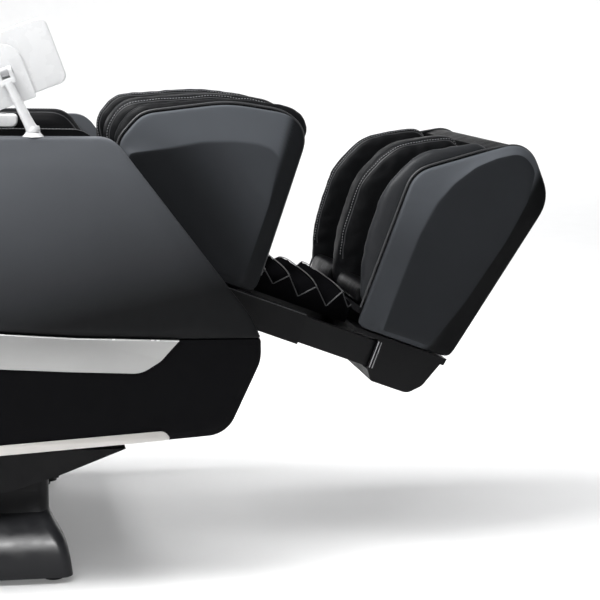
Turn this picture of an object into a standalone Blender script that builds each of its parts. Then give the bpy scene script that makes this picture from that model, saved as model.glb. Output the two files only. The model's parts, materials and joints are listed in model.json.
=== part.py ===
"""A reclining massage chair with a tilting body, raised legrest and sliding footrest.

Metres, +Z up, +X towards the feet, the sitter's left at +Y. The origin is on the floor below
the middle of the chair. The chair is drawn reclined with the legrest raised and the footrest
drawn out. A flat part is an outline in a body's x-z plane, extruded along y. Each corner of an
outline is (x, z) or (x, z, fillet radius).
"""

import math

import bmesh
import bpy
from mathutils import Matrix, Vector

# --- Driving dimensions ------------------------------------------------------------------------
GAP = 0.0005  # between pieces that touch

TILT_PIVOT = (-0.12, 0.30)  # x and z of the body's rocking shaft on the base
HIP_PIVOT = (-0.22, 0.42)  # backrest hinge
KNEE_PIVOT = (0.26, 0.47)  # legrest hinge
LEG_SLOPE = math.radians(20)  # legrest below the horizontal
BACK_SLOPE = math.radians(30)  # backrest above the horizontal

SHELL_IN, SHELL_OUT = 0.335, 0.387  # |y| of the side shells
TRIM_OUT = 0.390
SHELL_WALL = 0.006
SHELL_REAR_RADIUS = 0.38  # round the hip, so that the shoulder wings swing clear
ARM_TOP = 0.746
CALF_SHELL = (0.2325, 0.250)  # |y|
FOOT_SHELL = (0.2305, 0.250)
RAIL = (0.204, 0.233, 0.0105, 0.0645)  # |y| and z of the outer slide rails, below the calf tray
RAIL_WALL = 0.003
RAIL_END = 0.289
BACK_HALF_WIDTH = 0.272
BACK_LENGTH = 0.850  # from the hip to the head end

REMOTE_FOOT = (0.082, -0.358, ARM_TOP)
REMOTE_KNUCKLE = (0.038, -0.358, 0.846)
REMOTE_ROLL = math.radians(-21)
TABLET = (0.188, 0.108, 0.010)

ARC_STEP = math.radians(18)  # a fillet's coarsest facet
COVER_ARC_STEP = math.radians(30)

# colour, roughness, metallic
CHARCOAL = ((0.085, 0.090, 0.098), 0.50, 0.0)
LEATHER = ((0.020, 0.020, 0.022), 0.55, 0.0)
BLACK = ((0.012, 0.012, 0.014), 0.45, 0.0)
GLOSS_BLACK = ((0.010, 0.010, 0.012), 0.25, 0.0)
SILVER = ((0.40, 0.40, 0.38), 0.32, 0.6)
CHAMPAGNE = ((0.56, 0.53, 0.48), 0.32, 0.5)
WHITE = ((0.80, 0.80, 0.80), 0.25, 0.0)
STEEL = ((0.05, 0.05, 0.055), 0.45, 0.8)
RUBBER = ((0.03, 0.03, 0.03), 0.85, 0.0)
GREY = ((0.30, 0.30, 0.31), 0.60, 0.0)
FABRIC = ((0.030, 0.030, 0.034), 0.85, 0.0)


# --- Scene helpers -----------------------------------------------------------------------------
def clear_scene():
    for thing in list(bpy.data.objects):
        bpy.data.objects.remove(thing, do_unlink=True)


def collection(name):
    group = bpy.data.collections.new(name)
    bpy.context.scene.collection.children.link(group)
    return group


clear_scene()
PARTS = collection("massage_chair")
CUTTERS = collection("cutters")


def body(name, matrix):
    """An empty on a joint's axis. Its children are modelled in its own x, y and z."""
    hook = bpy.data.objects.new("body_" + name, None)
    hook.matrix_world = matrix
    PARTS.objects.link(hook)
    return hook


def paint(thing, finish):
    colour, roughness, metallic = finish
    material = bpy.data.materials.new(thing.name)
    material.use_nodes = True
    shader = material.node_tree.nodes["Principled BSDF"]
    shader.inputs["Base Color"].default_value = (*colour, 1)
    shader.inputs["Roughness"].default_value = roughness
    shader.inputs["Metallic"].default_value = metallic
    material.diffuse_color = (*colour, 1)
    thing.data.materials.append(material)


def add(name, hook, bm, finish):
    """Turn a bmesh in the body's coordinates into a named part."""
    bmesh.ops.recalc_face_normals(bm, faces=bm.faces)
    mesh = bpy.data.meshes.new(name)
    bm.to_mesh(mesh)
    bm.free()
    mesh.shade_smooth()
    mesh.set_sharp_from_angle(angle=math.radians(35))
    part = bpy.data.objects.new(name, mesh)
    PARTS.objects.link(part)
    part.parent = hook
    if finish:
        paint(part, finish)
    return part


def tool(part):
    """Hide a part so that it only cuts or joins another one."""
    PARTS.objects.unlink(part)
    CUTTERS.objects.link(part)
    part.hide_render = True
    part.display_type = "WIRE"
    return part


def combine(part, helpers, operation):
    for helper in helpers:
        step = part.modifiers.new(operation.lower(), "BOOLEAN")
        step.operation = operation
        step.solver = "EXACT"
        step.object = tool(helper)
    return part


def cut(part, *helpers):
    return combine(part, helpers, "DIFFERENCE")


def join(part, *helpers):
    return combine(part, helpers, "UNION")


def soften(part, width, segments=1, angle=40):
    edge = part.modifiers.new("rounded_edges", "BEVEL")
    edge.width = width
    edge.segments = segments
    edge.limit_method = "ANGLE"
    edge.angle_limit = math.radians(angle)
    return part


# --- Shapes ------------------------------------------------------------------------------------
def fillet(before, corner, after, radius, step):
    """Points of the arc that rounds one corner."""
    here = Vector(corner)
    back = (Vector(before) - here).normalized()
    ahead = (Vector(after) - here).normalized()
    half = back.angle(ahead) / 2
    turn = math.pi - 2 * half
    reach = radius / math.tan(half)
    centre = here + (back + ahead).normalized() * radius / math.sin(half)
    start = here + back * reach - centre
    sign = 1 if back.x * ahead.y - back.y * ahead.x < 0 else -1
    count = max(1, math.ceil(turn / step))
    spins = [Matrix.Rotation(sign * turn * i / count, 2) for i in range(count + 1)]
    return [tuple(centre + spin @ start) for spin in spins]


def outline(corners, step=ARC_STEP):
    """Closed outline through corners, each (x, z) or (x, z, fillet radius)."""
    points = []
    for i, corner in enumerate(corners):
        if len(corner) == 2:
            points.append(corner)
            continue
        before = corners[i - 1][:2]
        after = corners[(i + 1) % len(corners)][:2]
        points += fillet(before, corner[:2], after, corner[2], step)
    return points


def arc(centre, radius, start, end):
    """Points on a circle, from one angle to another in degrees."""
    count = math.ceil(abs(math.radians(end - start)) / ARC_STEP)
    angles = [math.radians(start + (end - start) * i / count) for i in range(count + 1)]
    return [(centre[0] + radius * math.cos(a), centre[1] + radius * math.sin(a)) for a in angles]


def slab(name, hook, corners, low, high, finish=None):
    """An outline in the x-z plane, extruded from y = low to y = high."""
    bm = bmesh.new()
    face = bm.faces.new([bm.verts.new((x, low, z)) for x, z in outline(corners)])
    grown = bmesh.ops.extrude_face_region(bm, geom=[face])["geom"]
    moved = [item for item in grown if isinstance(item, bmesh.types.BMVert)]
    bmesh.ops.translate(bm, verts=moved, vec=(0, high - low, 0))
    return add(name, hook, bm, finish)


def beam(name, hook, corners, low, high, finish=None):
    """An outline in the y-z plane, extruded from x = low to x = high."""
    bm = bmesh.new()
    face = bm.faces.new([bm.verts.new((low, y, z)) for y, z in outline(corners)])
    grown = bmesh.ops.extrude_face_region(bm, geom=[face])["geom"]
    moved = [item for item in grown if isinstance(item, bmesh.types.BMVert)]
    bmesh.ops.translate(bm, verts=moved, vec=(high - low, 0, 0))
    return add(name, hook, bm, finish)


def box(name, hook, xs, ys, zs, finish=None):
    bm = bmesh.new()
    size = [b - a for a, b in (xs, ys, zs)]
    middle = [(a + b) / 2 for a, b in (xs, ys, zs)]
    place = Matrix.Translation(middle) @ Matrix.Diagonal((*size, 1))
    bmesh.ops.create_cube(bm, size=1, matrix=place)
    return add(name, hook, bm, finish)


def rod(name, hook, centre, axis, length, radius, finish=None, top=None, sides=20):
    """A cylinder or cone about a point, with its top towards the axis."""
    bm = bmesh.new()
    turn = Vector((0, 0, 1)).rotation_difference(Vector(axis)).to_matrix().to_4x4()
    top = radius if top is None else top
    bmesh.ops.create_cone(bm, cap_ends=True, segments=sides, radius1=radius, radius2=top,
                          depth=length, matrix=Matrix.Translation(centre) @ turn)
    return add(name, hook, bm, finish)


def ring_loft(name, hook, rings, finish):
    """A tube-like wall through a loop of rings that have equal numbers of points."""
    bm = bmesh.new()
    loops = [[bm.verts.new(point) for point in ring] for ring in rings]
    for ring, after in zip(loops, loops[1:] + loops[:1]):
        for i in range(len(ring)):
            j = (i + 1) % len(ring)
            bm.faces.new((ring[i], ring[j], after[j], after[i]))
    return add(name, hook, bm, finish)


def both_sides(inner, outer):
    """Name ending and y range of the right (-y) and left (+y) copies of a side piece."""
    return (("r", -outer, -inner), ("l", inner, outer))


def shift(corners, pivot):
    """Move outline corners from the chair's frame to a body at a pivot."""
    return [(c[0] - pivot[0], c[1] - pivot[1], *c[2:]) for c in corners]


# --- Bodies, each on its joint -----------------------------------------------------------------
def at(x, y, z):
    return Matrix.Translation((x, y, z))


BASE = body("base", Matrix.Identity(4))
SEAT = body("seat", at(TILT_PIVOT[0], 0, TILT_PIVOT[1]))
BACK_TURN = Matrix.Rotation(math.pi, 4, "Z") @ Matrix.Rotation(-BACK_SLOPE, 4, "Y")
BACK_FRAME = at(HIP_PIVOT[0], 0, HIP_PIVOT[1]) @ BACK_TURN
BACK = body("backrest", BACK_FRAME)
LEG_FRAME = at(KNEE_PIVOT[0], 0, KNEE_PIVOT[1]) @ Matrix.Rotation(LEG_SLOPE, 4, "Y")
LEG = body("legrest", LEG_FRAME)
FOOT = body("footrest", LEG_FRAME)


# --- Base --------------------------------------------------------------------------------------
# z, front x, rear x, half width of the moulded cover
COVER_SECTIONS = (
    (0.011, 0.1435, -0.6050, 0.3300),
    (0.034, 0.1405, -0.6035, 0.3300),
    (0.054, 0.1360, -0.6005, 0.3270),
    (0.070, 0.1305, -0.5955, 0.3200),
    (0.084, 0.1220, -0.5890, 0.3100),
    (0.095, 0.1140, -0.5810, 0.2970),
    (0.103, 0.1090, -0.5720, 0.2850),
    (0.108, 0.1070, -0.5650, 0.2780),
    (0.111, 0.1065, -0.3870, 0.2740),
    (0.145, 0.1065, -0.3810, 0.2660),
    (0.250, 0.1065, -0.3800, 0.2620),
)
COVER_CORNER = 0.055
CHEEK_CORNER = 0.020
CHEEK = 0.060  # the cover's two sides stand this wide
CHEEK_REACH = 0.050  # and this far in front of its middle
COVER_WALL = 0.004
FOOT_PLACES = {"front": 0.1120, "rear": -0.575}
FOOT_HALF_TRACK = 0.290
SHAFT_RADIUS = 0.012
BORE_CLEARANCE = 0.0003


def cover_ring(section, inset):
    z, front, rear, half = section
    x0, x1, y = rear + inset, front - inset, half - inset
    rear_radius = COVER_CORNER - inset
    radius = CHEEK_CORNER - inset
    cheek = half - CHEEK + inset
    middle = cheek - 0.015
    hollow = CHEEK_CORNER / 2 + inset
    corners = [(x0, -y, rear_radius), (x1, -y, radius), (x1, -cheek, radius),
               (x1 - CHEEK_REACH, -middle, hollow), (x1 - CHEEK_REACH, middle, hollow),
               (x1, cheek, radius), (x1, y, radius), (x0, y, rear_radius)]
    return [(px, py, z) for px, py in outline(corners, COVER_ARC_STEP)]


def base_cover():
    outer = [cover_ring(section, 0) for section in COVER_SECTIONS]
    inner = [cover_ring(section, COVER_WALL) for section in reversed(COVER_SECTIONS)]
    ring_loft("base_cover", BASE, outer + inner, BLACK)


def base_frame():
    x, z = TILT_PIVOT
    frame = box("base_frame", BASE, (-0.57, 0.074), (-0.235, -0.205), (0.015, 0.035), STEEL)
    pieces = [box("rail", BASE, (-0.57, 0.074), (0.205, 0.235), (0.015, 0.035))]
    for middle in (0.060, FOOT_PLACES["rear"]):
        pieces.append(box("cross", BASE, (middle - 0.015, middle + 0.015), (-0.299, 0.299),
                          (0.0108, 0.0352)))
    pieces.append(box("centre", BASE, (x - 0.045, x + 0.045), (-0.22, 0.22), (0.0148, 0.0354)))
    for side in (-1, 1):
        pieces.append(box("foot_arm", BASE, (0.061, 0.126), sorted((side * 0.278, side * 0.300)),
                          (0.0110, 0.0350)))
        pieces.append(slab("upright", BASE, [(x - 0.05, 0.03), (x + 0.05, 0.03),
                                             (x + 0.02, z + 0.02, 0.018),
                                             (x - 0.02, z + 0.02, 0.018)],
                           side * 0.166 - 0.006, side * 0.166 + 0.006))
        pieces.append(rod("axle", BASE, (-0.50, side * 0.2535, 0.0255), (0, 1, 0), 0.045, 0.005,
                          sides=16))
    pieces.append(rod("tilt_shaft", BASE, (x, 0, z), (0, 1, 0), 0.41, SHAFT_RADIUS, sides=32))
    join(frame, *pieces)


def feet_and_wheels():
    for place, x in FOOT_PLACES.items():
        for side, y in (("r", -FOOT_HALF_TRACK), ("l", FOOT_HALF_TRACK)):
            foot = rod(f"foot_{place}_{side}", BASE, (x, y, 0.00525), (0, 0, 1), 0.0105, 0.0185,
                       RUBBER)
            soften(foot, 0.0015)
    for side, sign in (("r", -1), ("l", 1)):
        middle = (-0.50, sign * 0.265, 0.0255)
        hook = body(f"wheel_{side}", at(*middle))
        wheel = rod(f"wheel_{side}", hook, (0, 0, 0), (0, 1, 0), 0.018, 0.023, RUBBER)
        soften(wheel, 0.004)
        cut(wheel, rod("wheel_bore", hook, (0, 0, 0), (0, 1, 0), 0.03, 0.005 + BORE_CLEARANCE,
                       sides=16))


SWITCH_PLACE = (-0.6275, 0.030, 0.065)


def power_entry():
    xs, ys, zs = (-0.628, -0.6055), (-0.055, 0.055), (0.038, 0.092)
    entry = soften(box("power_box", BASE, xs, ys, zs, BLACK), 0.003)
    sx, sy, sz = SWITCH_PLACE
    cut(entry,
        box("inlet_recess", BASE, (-0.640, -0.611), (-0.040, -0.014), (0.055, 0.075)),
        box("switch_recess", BASE, (-0.640, sx + 0.0105), (sy - 0.0068, sy + 0.0068),
            (sz - 0.010, sz + 0.010)))
    hook = body("power_switch", at(*SWITCH_PLACE))
    rocker = slab("power_switch", hook, [(0.003, -0.008), (0.003, 0.008), (-0.003, 0.008),
                                         (-0.0015, 0), (-0.004, -0.008)],
                  -0.006, 0.006, BLACK)
    soften(rocker, 0.0006)


def tilt_motor():
    can = rod("tilt_motor", BASE, (-0.05, 0, 0.081), (1, 0, 0), 0.10, 0.032, STEEL)
    gearbox = box("gearbox", BASE, (-0.01, 0.035), (-0.045, 0.045), (0.036, 0.126))
    feet = box("motor_feet", BASE, (-0.072, 0.03), (-0.03, 0.03), (0.036, 0.062))
    join(can, gearbox, feet)


# --- Seat body ---------------------------------------------------------------------------------
SEAT_TUBE = (0.345, 0.375)  # z of the seat frame's tubes
SEAM = [(0.4465, 0.4215), (0.312, 0.4225), (0.147, 0.4285), (0.027, 0.4370), (-0.25, 0.4520)]


def seat_slab(name, corners, low, high, finish=None):
    return slab(name, SEAT, shift(corners, TILT_PIVOT), low, high, finish)


def seat_box(name, xs, ys, zs, finish=None):
    dx, dz = TILT_PIVOT
    return box(name, SEAT, [v - dx for v in xs], ys, [v - dz for v in zs], finish)


def seat_rod(name, centre, axis, length, radius, finish=None, top=None, sides=20):
    x, y, z = centre
    place = (x - TILT_PIVOT[0], y, z - TILT_PIVOT[1])
    return rod(name, SEAT, place, axis, length, radius, finish, top, sides)


def seat_frame():
    z0, z1 = SEAT_TUBE
    frame = seat_box("seat_frame", (-0.26, 0.285), (0.236, 0.262), (z0, z1), STEEL)
    pieces = [seat_box("rail", (-0.26, 0.285), (-0.262, -0.236), (z0, z1))]
    for x in (-0.20, 0.10):
        pieces.append(seat_box("outrigger", (x, x + 0.03), (-0.375, 0.375), (z0, z1 - 0.001)))
    tilt_x, tilt_z = TILT_PIVOT
    pieces.append(seat_box("pivot_tube", (tilt_x - 0.016, tilt_x + 0.016), (-0.25, 0.25),
                           (z0 + 0.001, z1 - 0.002)))
    for side in (-1, 1):
        pieces.append(seat_slab("tilt_lug", [(tilt_x - 0.022, tilt_z - 0.022, 0.02),
                                             (tilt_x + 0.022, tilt_z - 0.022, 0.02),
                                             (tilt_x + 0.022, z1 - 0.01),
                                             (tilt_x - 0.022, z1 - 0.01)],
                                side * 0.190 - 0.006, side * 0.190 + 0.006))
        for x, z, size in ((*HIP_PIVOT, 0.020), (*KNEE_PIVOT, 0.018)):
            pieces.append(seat_slab("ear", [(x - size, z1 - 0.012), (x + size, z1 - 0.012),
                                            (x + size, z + size, size * 0.9),
                                            (x - size, z + size, size * 0.9)],
                                    side * 0.242 - 0.005, side * 0.242 + 0.005))
    pieces.append(seat_rod("hip_shaft", (HIP_PIVOT[0], 0, HIP_PIVOT[1]), (0, 1, 0), 0.49, 0.010,
                           sides=32))
    pieces.append(seat_rod("knee_shaft", (KNEE_PIVOT[0], 0, KNEE_PIVOT[1]), (0, 1, 0), 0.49,
                           0.009, sides=32))
    join(frame, *pieces)
    cut(frame, seat_rod("tilt_bore", (tilt_x, 0, tilt_z), (0, 1, 0), 0.45,
                        SHAFT_RADIUS + BORE_CLEARANCE, sides=32))


def seat_cushion():
    cushion = seat_slab("seat_cushion", [(-0.178, 0.3755), (0.222, 0.3755), (0.222, 0.465, 0.03),
                                         (0.12, 0.490), (-0.178, 0.480, 0.03)],
                        -0.279, 0.279, LEATHER)
    soften(cushion, 0.012)


def side_shells():
    rear = arc(HIP_PIVOT, SHELL_REAR_RADIUS, 121, 174)
    upper = [(0.430, 0.457, 0.06), *SEAM, *rear[::-1], (0.207, ARM_TOP, 0.045)]
    lower_rear = arc(HIP_PIVOT, SHELL_REAR_RADIUS, 174.3, 190)
    seam = [(x, z - GAP * 2) for x, z in SEAM]
    lower = [*lower_rear, (-0.575, 0.315, 0.05), (-0.470, 0.258, 0.08), (-0.300, 0.2375, 0.20),
             (0.024, 0.2375), (0.300, 0.2555), (0.392, 0.262, 0.05), (0.4475, 0.385, 0.06),
             *seam]
    for kind, corners, finish in (("side_shell", upper, CHARCOAL), ("side_lower", lower, BLACK)):
        for side, low, high in both_sides(SHELL_IN, SHELL_OUT):
            shell = seat_slab(f"{kind}_{side}", corners, low, high, finish)
            pocket = seat_slab("pocket", shrink(corners, SHELL_WALL),
                               min(low + SHELL_WALL, SHELL_IN - 0.02),
                               max(high - SHELL_WALL, -SHELL_IN + 0.02))
            soften(shell, 0.004, 2, 50)
            cut(shell, pocket)


def shrink(corners, inset):
    """The outline's points moved inwards along their corner bisectors."""
    points = [Vector(point) for point in outline(corners)]
    area = sum(a.x * b.y - b.x * a.y for a, b in zip(points, points[1:] + points[:1]))
    sign = 1 if area > 0 else -1
    moved = []
    for i, here in enumerate(points):
        back = (here - points[i - 1]).normalized()
        ahead = (points[(i + 1) % len(points)] - here).normalized()
        normal = Vector((-(back + ahead).y, (back + ahead).x)).normalized() * sign
        across = Vector((-back.y, back.x)) * sign
        moved.append(tuple(here + normal * inset / max(0.4, normal.dot(across))))
    return moved


def trims():
    wide = [(0.3110, 0.4213), (0.147, 0.4275), (0.027, 0.4360), (-0.25, 0.4510),
            (-0.520, 0.4565), (-0.490, 0.4140, 0.01), (-0.25, 0.3940), (0.026, 0.3800),
            (0.131, 0.3735), (0.250, 0.3680, 0.02), (0.282, 0.3880, 0.02)]
    low_strip = [(0.288, 0.2720, 0.010), (0.300, 0.2570, 0.004), (0.229, 0.2520),
                 (0.024, 0.2390), (-0.300, 0.2390), (-0.400, 0.2500, 0.006),
                 (-0.385, 0.2680, 0.006), (-0.300, 0.2560), (0.024, 0.2555)]
    for kind, corners, finish in (("wide_trim", wide, SILVER), ("low_trim", low_strip, CHAMPAGNE)):
        for side, low, high in both_sides(SHELL_OUT + GAP, TRIM_OUT):
            seat_slab(f"{kind}_{side}", corners, low, high, finish)


def arm_pads():
    corners = [(0.168, 0.7565, 0.025), (0.350, 0.500, 0.05), (0.340, 0.400, 0.02),
               (-0.540, 0.400, 0.02), (-0.560, 0.500, 0.05), (-0.350, 0.7565, 0.04)]
    for side, low, high in both_sides(0.285, SHELL_IN - GAP):
        pad = seat_slab(f"arm_pad_{side}", corners, low, high, LEATHER)
        soften(pad, 0.010)


BELLY_HALF_WIDTH = 0.358
BELLY_WALL = 0.004


def belly_cover():
    bottom = [(0.228, 0.2365), (0.115, 0.193, 0.03), (0.024, 0.166, 0.15),
              (-0.13, 0.158, 0.2), (-0.300, 0.190, 0.15), (-0.395, 0.2365)]
    belly = seat_slab("belly_cover", bottom, -BELLY_HALF_WIDTH, BELLY_HALF_WIDTH, BLACK)
    inside = [(0.214, 0.2600), (0.206, 0.2340), (0.112, 0.198, 0.03), (0.024, 0.171, 0.15),
              (-0.13, 0.163, 0.2), (-0.298, 0.195, 0.15), (-0.375, 0.2330), (-0.380, 0.2600)]
    half = BELLY_HALF_WIDTH - BELLY_WALL
    cut(belly,
        seat_slab("belly_hollow", inside, -half, half),
        seat_box("tower_opening", (-0.46, 0.125), (-0.276, 0.276), (0.10, 0.30)))


def control_pod():
    pod = seat_box("control_pod", (-0.035, 0.072), (0.266, 0.285 - GAP), (0.722, 0.749), WHITE)
    soften(pod, 0.004)
    x, y, top = 0.045, 0.2753, 0.749
    cut(pod, seat_rod("button_recess", (x, y, top), (0, 0, 1), 0.010, 0.0063, sides=20))
    hook = body("pod_button", at(x, y, top))
    button = rod("pod_button", hook, (0, 0, -0.0006), (0, 0, 1), 0.0042, 0.0058, GREY, sides=20)
    soften(button, 0.0006)


def seat_motors():
    leg = seat_rod("leg_motor", (0.18, 0.045, 0.304), (0, 1, 0), 0.12, 0.030, STEEL)
    join(leg, seat_box("leg_gearbox", (0.145, 0.215), (-0.06, -0.01), (0.268, 0.3445)))
    back = seat_rod("back_motor", (-0.20, 0.045, 0.304), (0, 1, 0), 0.12, 0.030, STEEL)
    join(back, seat_box("back_gearbox", (-0.235, -0.165), (-0.06, -0.01), (0.272, 0.3445)))


# --- Backrest: x runs from the hip to the head, z out of the front -----------------------------
def back_frame():
    frame = box("back_frame", BACK, (0.0, 0.74), (0.212, 0.230), (-0.018, 0.018), STEEL)
    pieces = [box("rail", BACK, (0.0, 0.74), (-0.230, -0.212), (-0.018, 0.018))]
    for side in (-1, 1):
        pieces.append(rod("hinge_end", BACK, (0, side * 0.221, 0), (0, 1, 0), 0.0178, 0.0182))
        pieces.append(box("guide", BACK, (0.055, 0.71), sorted((side * 0.095, side * 0.107)),
                          (-0.010, 0.010)))
    for x in (0.05, 0.69):
        pieces.append(box("cross", BACK, (x, x + 0.025), (-0.22, 0.22), (-0.011, 0.011)))
    join(frame, *pieces)
    cut(frame, rod("hip_bore", BACK, (0, 0, 0), (0, 1, 0), 0.5, 0.010 + BORE_CLEARANCE, sides=32))


def back_shell():
    corners = [(0.10, -0.0305), (0.10, -0.062, 0.02), (0.17, -0.075, 0.08),
               (BACK_LENGTH - 0.057, -0.075, 0.05), (BACK_LENGTH, -0.0305)]
    shell = slab("back_shell", BACK, corners, -BACK_HALF_WIDTH, BACK_HALF_WIDTH, BLACK)
    inside = [(0.104, 0.0), (0.104, -0.058, 0.016), (0.17, -0.071, 0.08),
              (BACK_LENGTH - 0.059, -0.071, 0.046), (BACK_LENGTH - 0.010, -0.0305),
              (BACK_LENGTH - 0.002, 0.0)]
    half = BACK_HALF_WIDTH - 0.004
    soften(shell, 0.005)
    cut(shell, slab("shell_hollow", BACK, inside, -half, half))


def back_cushion():
    corners = [(0.10, -0.030), (BACK_LENGTH, -0.030), (BACK_LENGTH - 0.007, 0.132, 0.04),
               (0.045, 0.135, 0.03),
               (0.045, 0.100), (0.10, 0.095)]
    cushion = slab("back_cushion", BACK, corners, -BACK_HALF_WIDTH, BACK_HALF_WIDTH, LEATHER)
    soften(cushion, 0.015)
    cut(cushion, box("mechanism_space", BACK, (0.09, 0.755), (-0.2335, 0.2335), (-0.05, 0.090)))


PILLOW_HINGE = (BACK_LENGTH - 0.007, 0.146)


def head_pillow():
    x, z = PILLOW_HINGE
    hook = body("head_pillow", BACK_FRAME @ at(x, 0, z))
    pillow = box("head_pillow", hook, (-0.195, -0.015), (-0.15, 0.15), (-0.0105, 0.036), LEATHER)
    soften(pillow, 0.015)


def shoulder_wings():
    corners = [(0.42, -0.03), (0.42, 0.10, 0.04), (0.50, 0.175, 0.03), (0.62, 0.160, 0.03),
               (0.665, 0.02, 0.03), (0.64, -0.05, 0.02)]
    low, high = BACK_HALF_WIDTH + 0.001, 0.335
    for side, y0, y1 in (("r", low, high), ("l", -high, -low)):
        soften(slab(f"shoulder_wing_{side}", BACK, corners, y0, y1, CHARCOAL), 0.012)


CARRIAGE_PLACE = 0.23  # along the back, at rest
ARM_PIVOT_Z = 0.030
ROLLER_REACH, ROLLER_Z = 0.055, 0.018  # from the arm's pivot
ROLLER_RADIUS = 0.022


def massage_carriage():
    place = BACK_FRAME @ at(CARRIAGE_PLACE, 0, 0)
    hook = body("carriage", place)
    plate = box("carriage", hook, (-0.05, 0.05), (-0.0935, 0.0935), (-0.008, 0.008), STEEL)
    pieces = [box("post", hook, (-0.012, 0.012), (-0.008, 0.008), (0.006, ARM_PIVOT_Z + 0.012))]
    pieces.append(rod("arm_shaft", hook, (0, 0, ARM_PIVOT_Z), (0, 1, 0), 0.13, 0.006, sides=24))
    pieces.append(rod("motor", hook, (0, 0, -0.018), (1, 0, 0), 0.07, 0.018, sides=20))
    join(plate, *pieces)
    for side, sign in (("r", 1), ("l", -1)):
        roller_arm(side, sign, place @ at(0, sign * 0.045, ARM_PIVOT_Z))


def roller_arm(side, sign, place):
    hook = body(f"roller_arm_{side}", place)
    reach, rise = ROLLER_REACH, ROLLER_Z
    corners = [(-reach - 0.008, rise, 0.006), (-reach, rise - 0.012, 0.004), (0, -0.012, 0.01),
               (reach, rise - 0.012, 0.004), (reach + 0.008, rise, 0.006),
               (reach, rise + 0.009, 0.005), (0, 0.012, 0.02), (-reach, rise + 0.009, 0.005)]
    arm = slab(f"roller_arm_{side}", hook, corners, -0.005, 0.005, GREY)
    pins = [rod("axle", hook, (x, sign * 0.020, rise), (0, 1, 0), 0.034, 0.004, sides=16)
            for x in (-reach, reach)]
    join(arm, *pins)
    cut(arm, rod("pivot_bore", hook, (0, 0, 0), (0, 1, 0), 0.02, 0.006 + BORE_CLEARANCE))
    for end, x in (("low", -reach), ("high", reach)):
        centre = place @ at(x, sign * 0.0215, rise)
        wheel_hook = body(f"roller_{end}_{side}", centre)
        roller = rod(f"roller_{end}_{side}", wheel_hook, (0, 0, 0), (0, 1, 0), 0.030,
                     ROLLER_RADIUS, RUBBER, sides=20)
        soften(roller, 0.007)
        cut(roller, rod("roller_bore", wheel_hook, (0, 0, 0), (0, 1, 0), 0.04,
                        0.004 + BORE_CLEARANCE, sides=16))


# --- Legrest: x runs down the leg from the knee, z out of the calf wells -----------------------
def leg_frame():
    y0, y1, z0, z1 = RAIL
    frame = box("leg_frame", LEG, (-0.035, RAIL_END), (y0, y1), (z0, z1), BLACK)
    other = box("rail", LEG, (-0.035, RAIL_END), (-y1, -y0), (z0, z1))
    pieces = [other]
    for x in (-0.03, 0.155):
        pieces.append(box("cross", LEG, (x, x + 0.028), (-y0 - 0.001, y0 + 0.001), (0.02, 0.055)))
    holes = []
    for side in (-1, 1):
        lug = sorted((side * (y0 + 0.006), side * (y1 - 0.002)))
        pieces.append(slab("knee_lug", LEG, [(-0.030, z0 + 0.002), (-0.018, -0.018, 0.016),
                                             (0.018, -0.018, 0.016), (0.030, z0 + 0.002)], *lug))
        hollow = sorted((side * (y0 + RAIL_WALL), side * (y1 - RAIL_WALL)))
        holes.append(box("slide_bore", LEG, (-0.05, RAIL_END + 0.01), hollow,
                         (z0 + RAIL_WALL, z1 - RAIL_WALL)))
    join(frame, *pieces)
    cut(frame, *holes, rod("knee_bore", LEG, (0, 0, 0), (0, 1, 0), 0.5,
                           0.009 + BORE_CLEARANCE, sides=32))


def calf_unit():
    panel = [(-0.055, 0.072, 0.01), (0.1855, 0.072, 0.008), (0.174, 0.368, 0.035),
             (0.125, 0.376, 0.05), (0.030, 0.357, 0.2), (-0.100, 0.290, 0.03),
             (-0.121, 0.235, 0.03)]
    for side, low, high in both_sides(*CALF_SHELL):
        soften(slab(f"calf_shell_{side}", LEG, panel, low, high, CHARCOAL), 0.006)
    tray = slab("calf_tray", LEG, [(-0.050, 0.068), (0.184, 0.068), (0.184, 0.0895),
                                   (-0.055, 0.0895)], -0.2315, 0.2315, BLACK)
    soften(tray, 0.003)
    liner = slab("calf_liner", LEG, [(-0.060, 0.0905, 0.01), (0.184, 0.0905, 0.005),
                                     (0.170, 0.335, 0.03), (0.128, 0.388, 0.05),
                                     (0.030, 0.366, 0.2), (-0.118, 0.296, 0.03),
                                     (-0.135, 0.245, 0.03)],
                 -0.2315, 0.2315, LEATHER)
    soften(liner, 0.006)
    wells = []
    for middle in (-0.1225, 0.1225):
        well = [(middle - 0.0825, 0.50), (middle - 0.0825, 0.1525, 0.08),
                (middle + 0.0825, 0.1525, 0.08), (middle + 0.0825, 0.50)]
        wells.append(beam("calf_well", LEG, well, -0.25, 0.25))
    cut(liner, *wells)


BELLOWS_RUN = (0.186, 0.3665)
BELLOWS_RISE = (0.086, 0.116)
BELLOWS_FOLDS = 7
BELLOWS_SKIN = 0.0035


def bellows():
    start, end = BELLOWS_RUN
    low, high = BELLOWS_RISE
    step = (end - start) / BELLOWS_FOLDS
    top = [(start + i * step, high if i % 2 == 0 else low) for i in range(BELLOWS_FOLDS + 1)]
    corners = top + [(x, z - BELLOWS_SKIN) for x, z in reversed(top)]
    slab("bellows", LEG, corners, -0.190, 0.190, FABRIC)


# --- Footrest, in the legrest's coordinates ----------------------------------------------------
SOLE_ROLLER = (0.5474, 0.200)


def foot_rails():
    y0, y1, z0, z1 = RAIL
    slack = RAIL_WALL + GAP
    low, high = y0 + slack, y1 - slack
    zs = (z0 + slack, z1 - slack)
    rails = box("foot_rails", FOOT, (0.154, 0.470), (low, high), zs, BLACK)
    join(rails,
         box("rail", FOOT, (0.154, 0.470), (-high, -low), zs),
         box("cross", FOOT, (0.443, 0.467), (-low - 0.001, low + 0.001), (0.020, 0.055)))


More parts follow.
